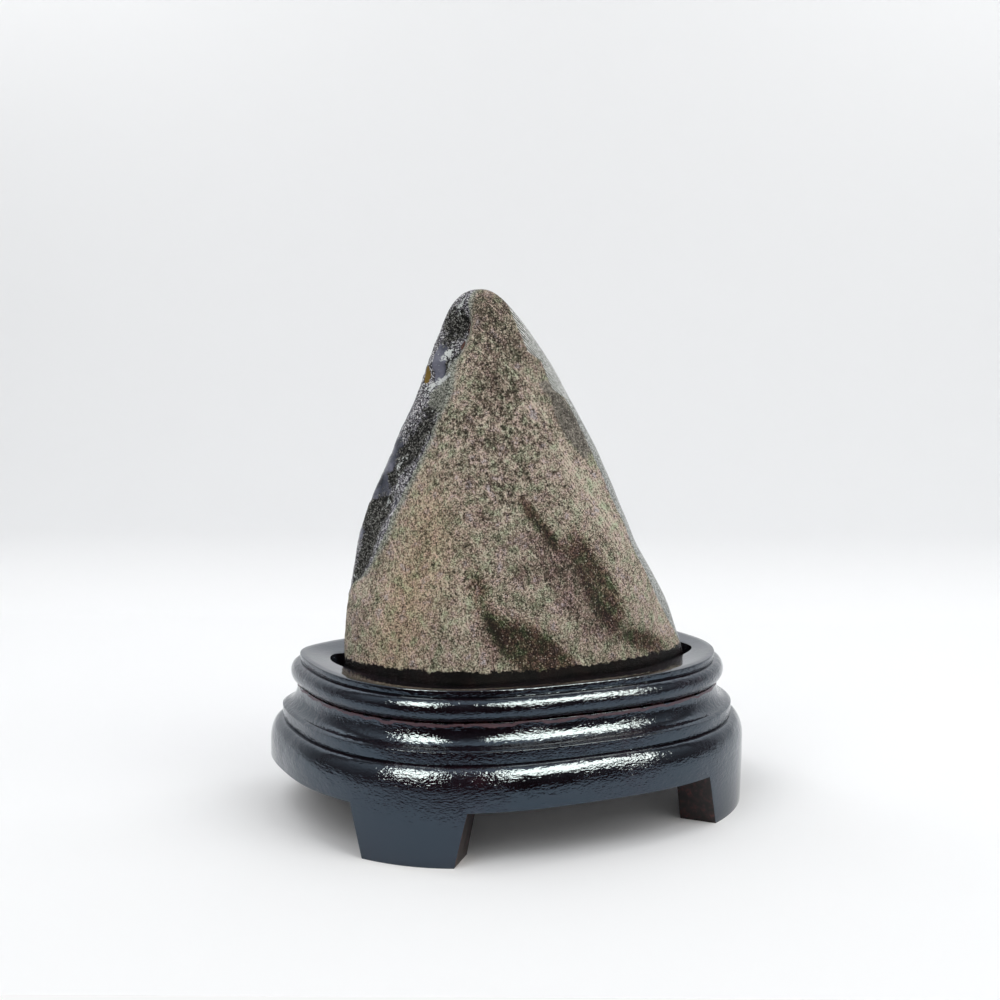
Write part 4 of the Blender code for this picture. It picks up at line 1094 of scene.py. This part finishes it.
# stage and light: sizes in metres, directions in degrees from +X and up
studio = {
    "floorHalf": 2.4, "floorFront": 0.148, "wallAt": 0.40, "wallCurve": 0.05, "curveSteps": 24,
    "wallHeight": 3.0,
    "paper": "#f2f3f4", "paperRoughness": 0.9, "paperSheen": 0.1,
    "lookAt": (0.0, 0.0, 0.07),
    # name: direction, elevation, distance, width, height, brightness, and what the lamp does: it
    # shades everything, is only mirrored in the gloss of the stand, or lights the crystals alone
    "windows": {
        "softLeft": (206, 42, 0.90, 0.50, 0.60, 2.3, "shade"),
        "softRight": (299, 41, 0.90, 0.62, 0.60, 2.2, "shade"),
        "fillFront": (244, 10, 0.90, 1.20, 0.26, 1.8, "shade"),
        "windowLeft": (206, 43, 0.80, 0.38, 0.42, 24.0, "stand"),
        "windowRight": (298, 40, 0.80, 0.60, 0.42, 21.0, "stand"),
        "backLeft": (140, 26, 0.45, 0.24, 0.30, 7.0, "crystals"),
        "backRight": (350, 30, 0.45, 0.24, 0.30, 7.0, "crystals"),
        "backTop": (70, 62, 0.40, 0.22, 0.16, 9.0, "crystals"),
    },
    # name: place, aim, size, brightness, what the lamp does
    "wallLights": {
        "wallLeft": ((-0.30, 0.34, 0.68), (-0.04, 0.50, 0.42), (0.55, 0.2), 3.9, "shade"),
        "wallRight": ((0.48, -0.04, 0.68), (0.50, 0.20, 0.42), (0.5, 0.2), 3.3, "shade"),
    },
    "tint": "#ffffff", "glossTint": "#ffe8cc",
    # brightness of the tent by the sine of the elevation, and how it dims low down in front
    "dome": ((0.0, 0.05), (0.5, 0.44), (0.9, 0.97)), "domeFront": 244.0, "domeDim": 0.12,
    "dimFrom": 0.3, "dimTo": 0.75,
    "sky": "#fafafa",
}


def makeStage():
    s = studio
    along = Vector((math.sin(camera["lookAlong"]), math.cos(camera["lookAlong"]), 0.0))
    side = Vector((along.y, -along.x, 0.0))
    radius, steps, start = s["wallCurve"], s["curveSteps"], s["wallAt"] - s["wallCurve"]
    line = [(-s["floorFront"], 0.0), (start, 0.0)]
    line += [(start + radius * math.sin(a), radius * (1 - math.cos(a)))
             for a in (math.pi / 2 * i / steps for i in range(1, steps + 1))]
    line.append((s["wallAt"], s["wallHeight"]))
    vertices = [along * d + side * e + Vector((0, 0, h))
                for d, h in line for e in (-s["floorHalf"], s["floorHalf"])]
    faces = [(2 * i, 2 * i + 1, 2 * i + 3, 2 * i + 2) for i in range(len(line) - 1)]
    floor = meshObject("floor", vertices, [], faces)
    # matt white paper, rolled: no shine, so the floor runs into the wall without a line
    material, shader = newMaterial("palePaper")
    setInputs(shader, {
        "Base Color": colour(s["paper"]), "Roughness": s["paperRoughness"],
        "Specular IOR Level": s["paperSheen"]})
    floor.data.materials.append(material)
    floor.data.shade_smooth()


def addSoftbox(mirrors, name, place, aim, size, brightness, use):
    data = bpy.data.lights.new(name, "AREA")
    data.shape = "RECTANGLE"
    data.size, data.size_y = size
    data.energy = math.pi * size[0] * size[1] * brightness
    data.color = colour(studio["glossTint" if use in mirrors else "tint"])[:3]
    made = bpy.data.objects.new(name, data)
    made.location = place
    made.rotation_euler = (Vector(aim) - Vector(place)).to_track_quat("-Z", "Y").to_euler()
    made.visible_camera = False
    made.visible_glossy = use in mirrors
    made.visible_diffuse = use != "stand"
    made.light_linking.receiver_collection = mirrors.get(use)
    bpy.context.scene.collection.objects.link(made)


# white tent overhead that is dim low down in front; plain pale surroundings where it is seen direct
def makeTent():
    s = studio
    world = bpy.data.worlds.new("tent")
    world.use_nodes = True
    tree = world.node_tree
    direction = addNode(tree, "ShaderNodeTexCoord").outputs["Generated"]
    upward = addNode(tree, "ShaderNodeSeparateXYZ", {"Vector": direction}).outputs["Z"]
    level = s["dome"][0][1]
    for (low, before), (high, after) in zip(s["dome"], s["dome"][1:]):
        rise = addNode(tree, "ShaderNodeMapRange", {
            "Value": upward, "From Min": low, "From Max": high, "To Min": 0.0, "To Max": after - before})
        level = addNode(tree, "ShaderNodeMath", {0: rise, 1: level}, operation="ADD")
    front = math.radians(s["domeFront"])
    facing = addNode(tree, "ShaderNodeVectorMath", {
        0: direction, 1: (math.cos(front), math.sin(front), 0.0)}, operation="DOT_PRODUCT").outputs["Value"]
    dim = addNode(tree, "ShaderNodeMapRange", {
        "Value": facing, "From Min": s["dimFrom"], "From Max": s["dimTo"], "To Min": 1.0,
        "To Max": s["domeDim"]})
    level = addNode(tree, "ShaderNodeMath", {0: level, 1: dim}, operation="MULTIPLY")
    seen = addNode(tree, "ShaderNodeLightPath").outputs["Is Camera Ray"]
    strength = addNode(tree, "ShaderNodeMix", {0: seen, 2: level, 3: 1.0})
    tint = addNode(tree, "ShaderNodeMix", {
        0: seen, 6: colour(s["tint"]), 7: colour(s["sky"])}, data_type="RGBA")
    setInputs(tree.nodes["Background"], {"Color": tint.outputs[2], "Strength": strength})
    bpy.context.scene.world = world


def makeLight(glossy):
    bpy.context.scene.view_settings.view_transform = "Standard"
    makeTent()
    mirrors = {name: bpy.data.collections.new(name + "Mirrors") for name in glossy}
    for name, pieces in glossy.items():
        for piece in pieces:
            mirrors[name].objects.link(piece)
    for name, (direction, elevation, distance, width, height, brightness, use) in studio["windows"].items():
        turn, rise = math.radians(direction), math.radians(elevation)
        offset = Vector((math.cos(turn) * math.cos(rise), math.sin(turn) * math.cos(rise), math.sin(rise)))
        aim = Vector(studio["lookAt"])
        addSoftbox(mirrors, name, aim + offset * distance, aim, (width, height), brightness, use)
    for name, settings in studio["wallLights"].items():
        addSoftbox(mirrors, name, *settings)


lacquer = makeLacquer()
bareWood = makeBareWood()
moulding = mouldingTree()
tiers = [makeUpperTier(moulding, lacquer), makeLowerTier(moulding, lacquer, bareWood)]
print("stand made")
makeStone(makeStoneFinish())
print("stone made")
crust = makeCrystals(makeAmethyst())
print("crystals made")
makeStage()
makeLight({"stand": tiers, "crystals": crust})
print("stage and light made")
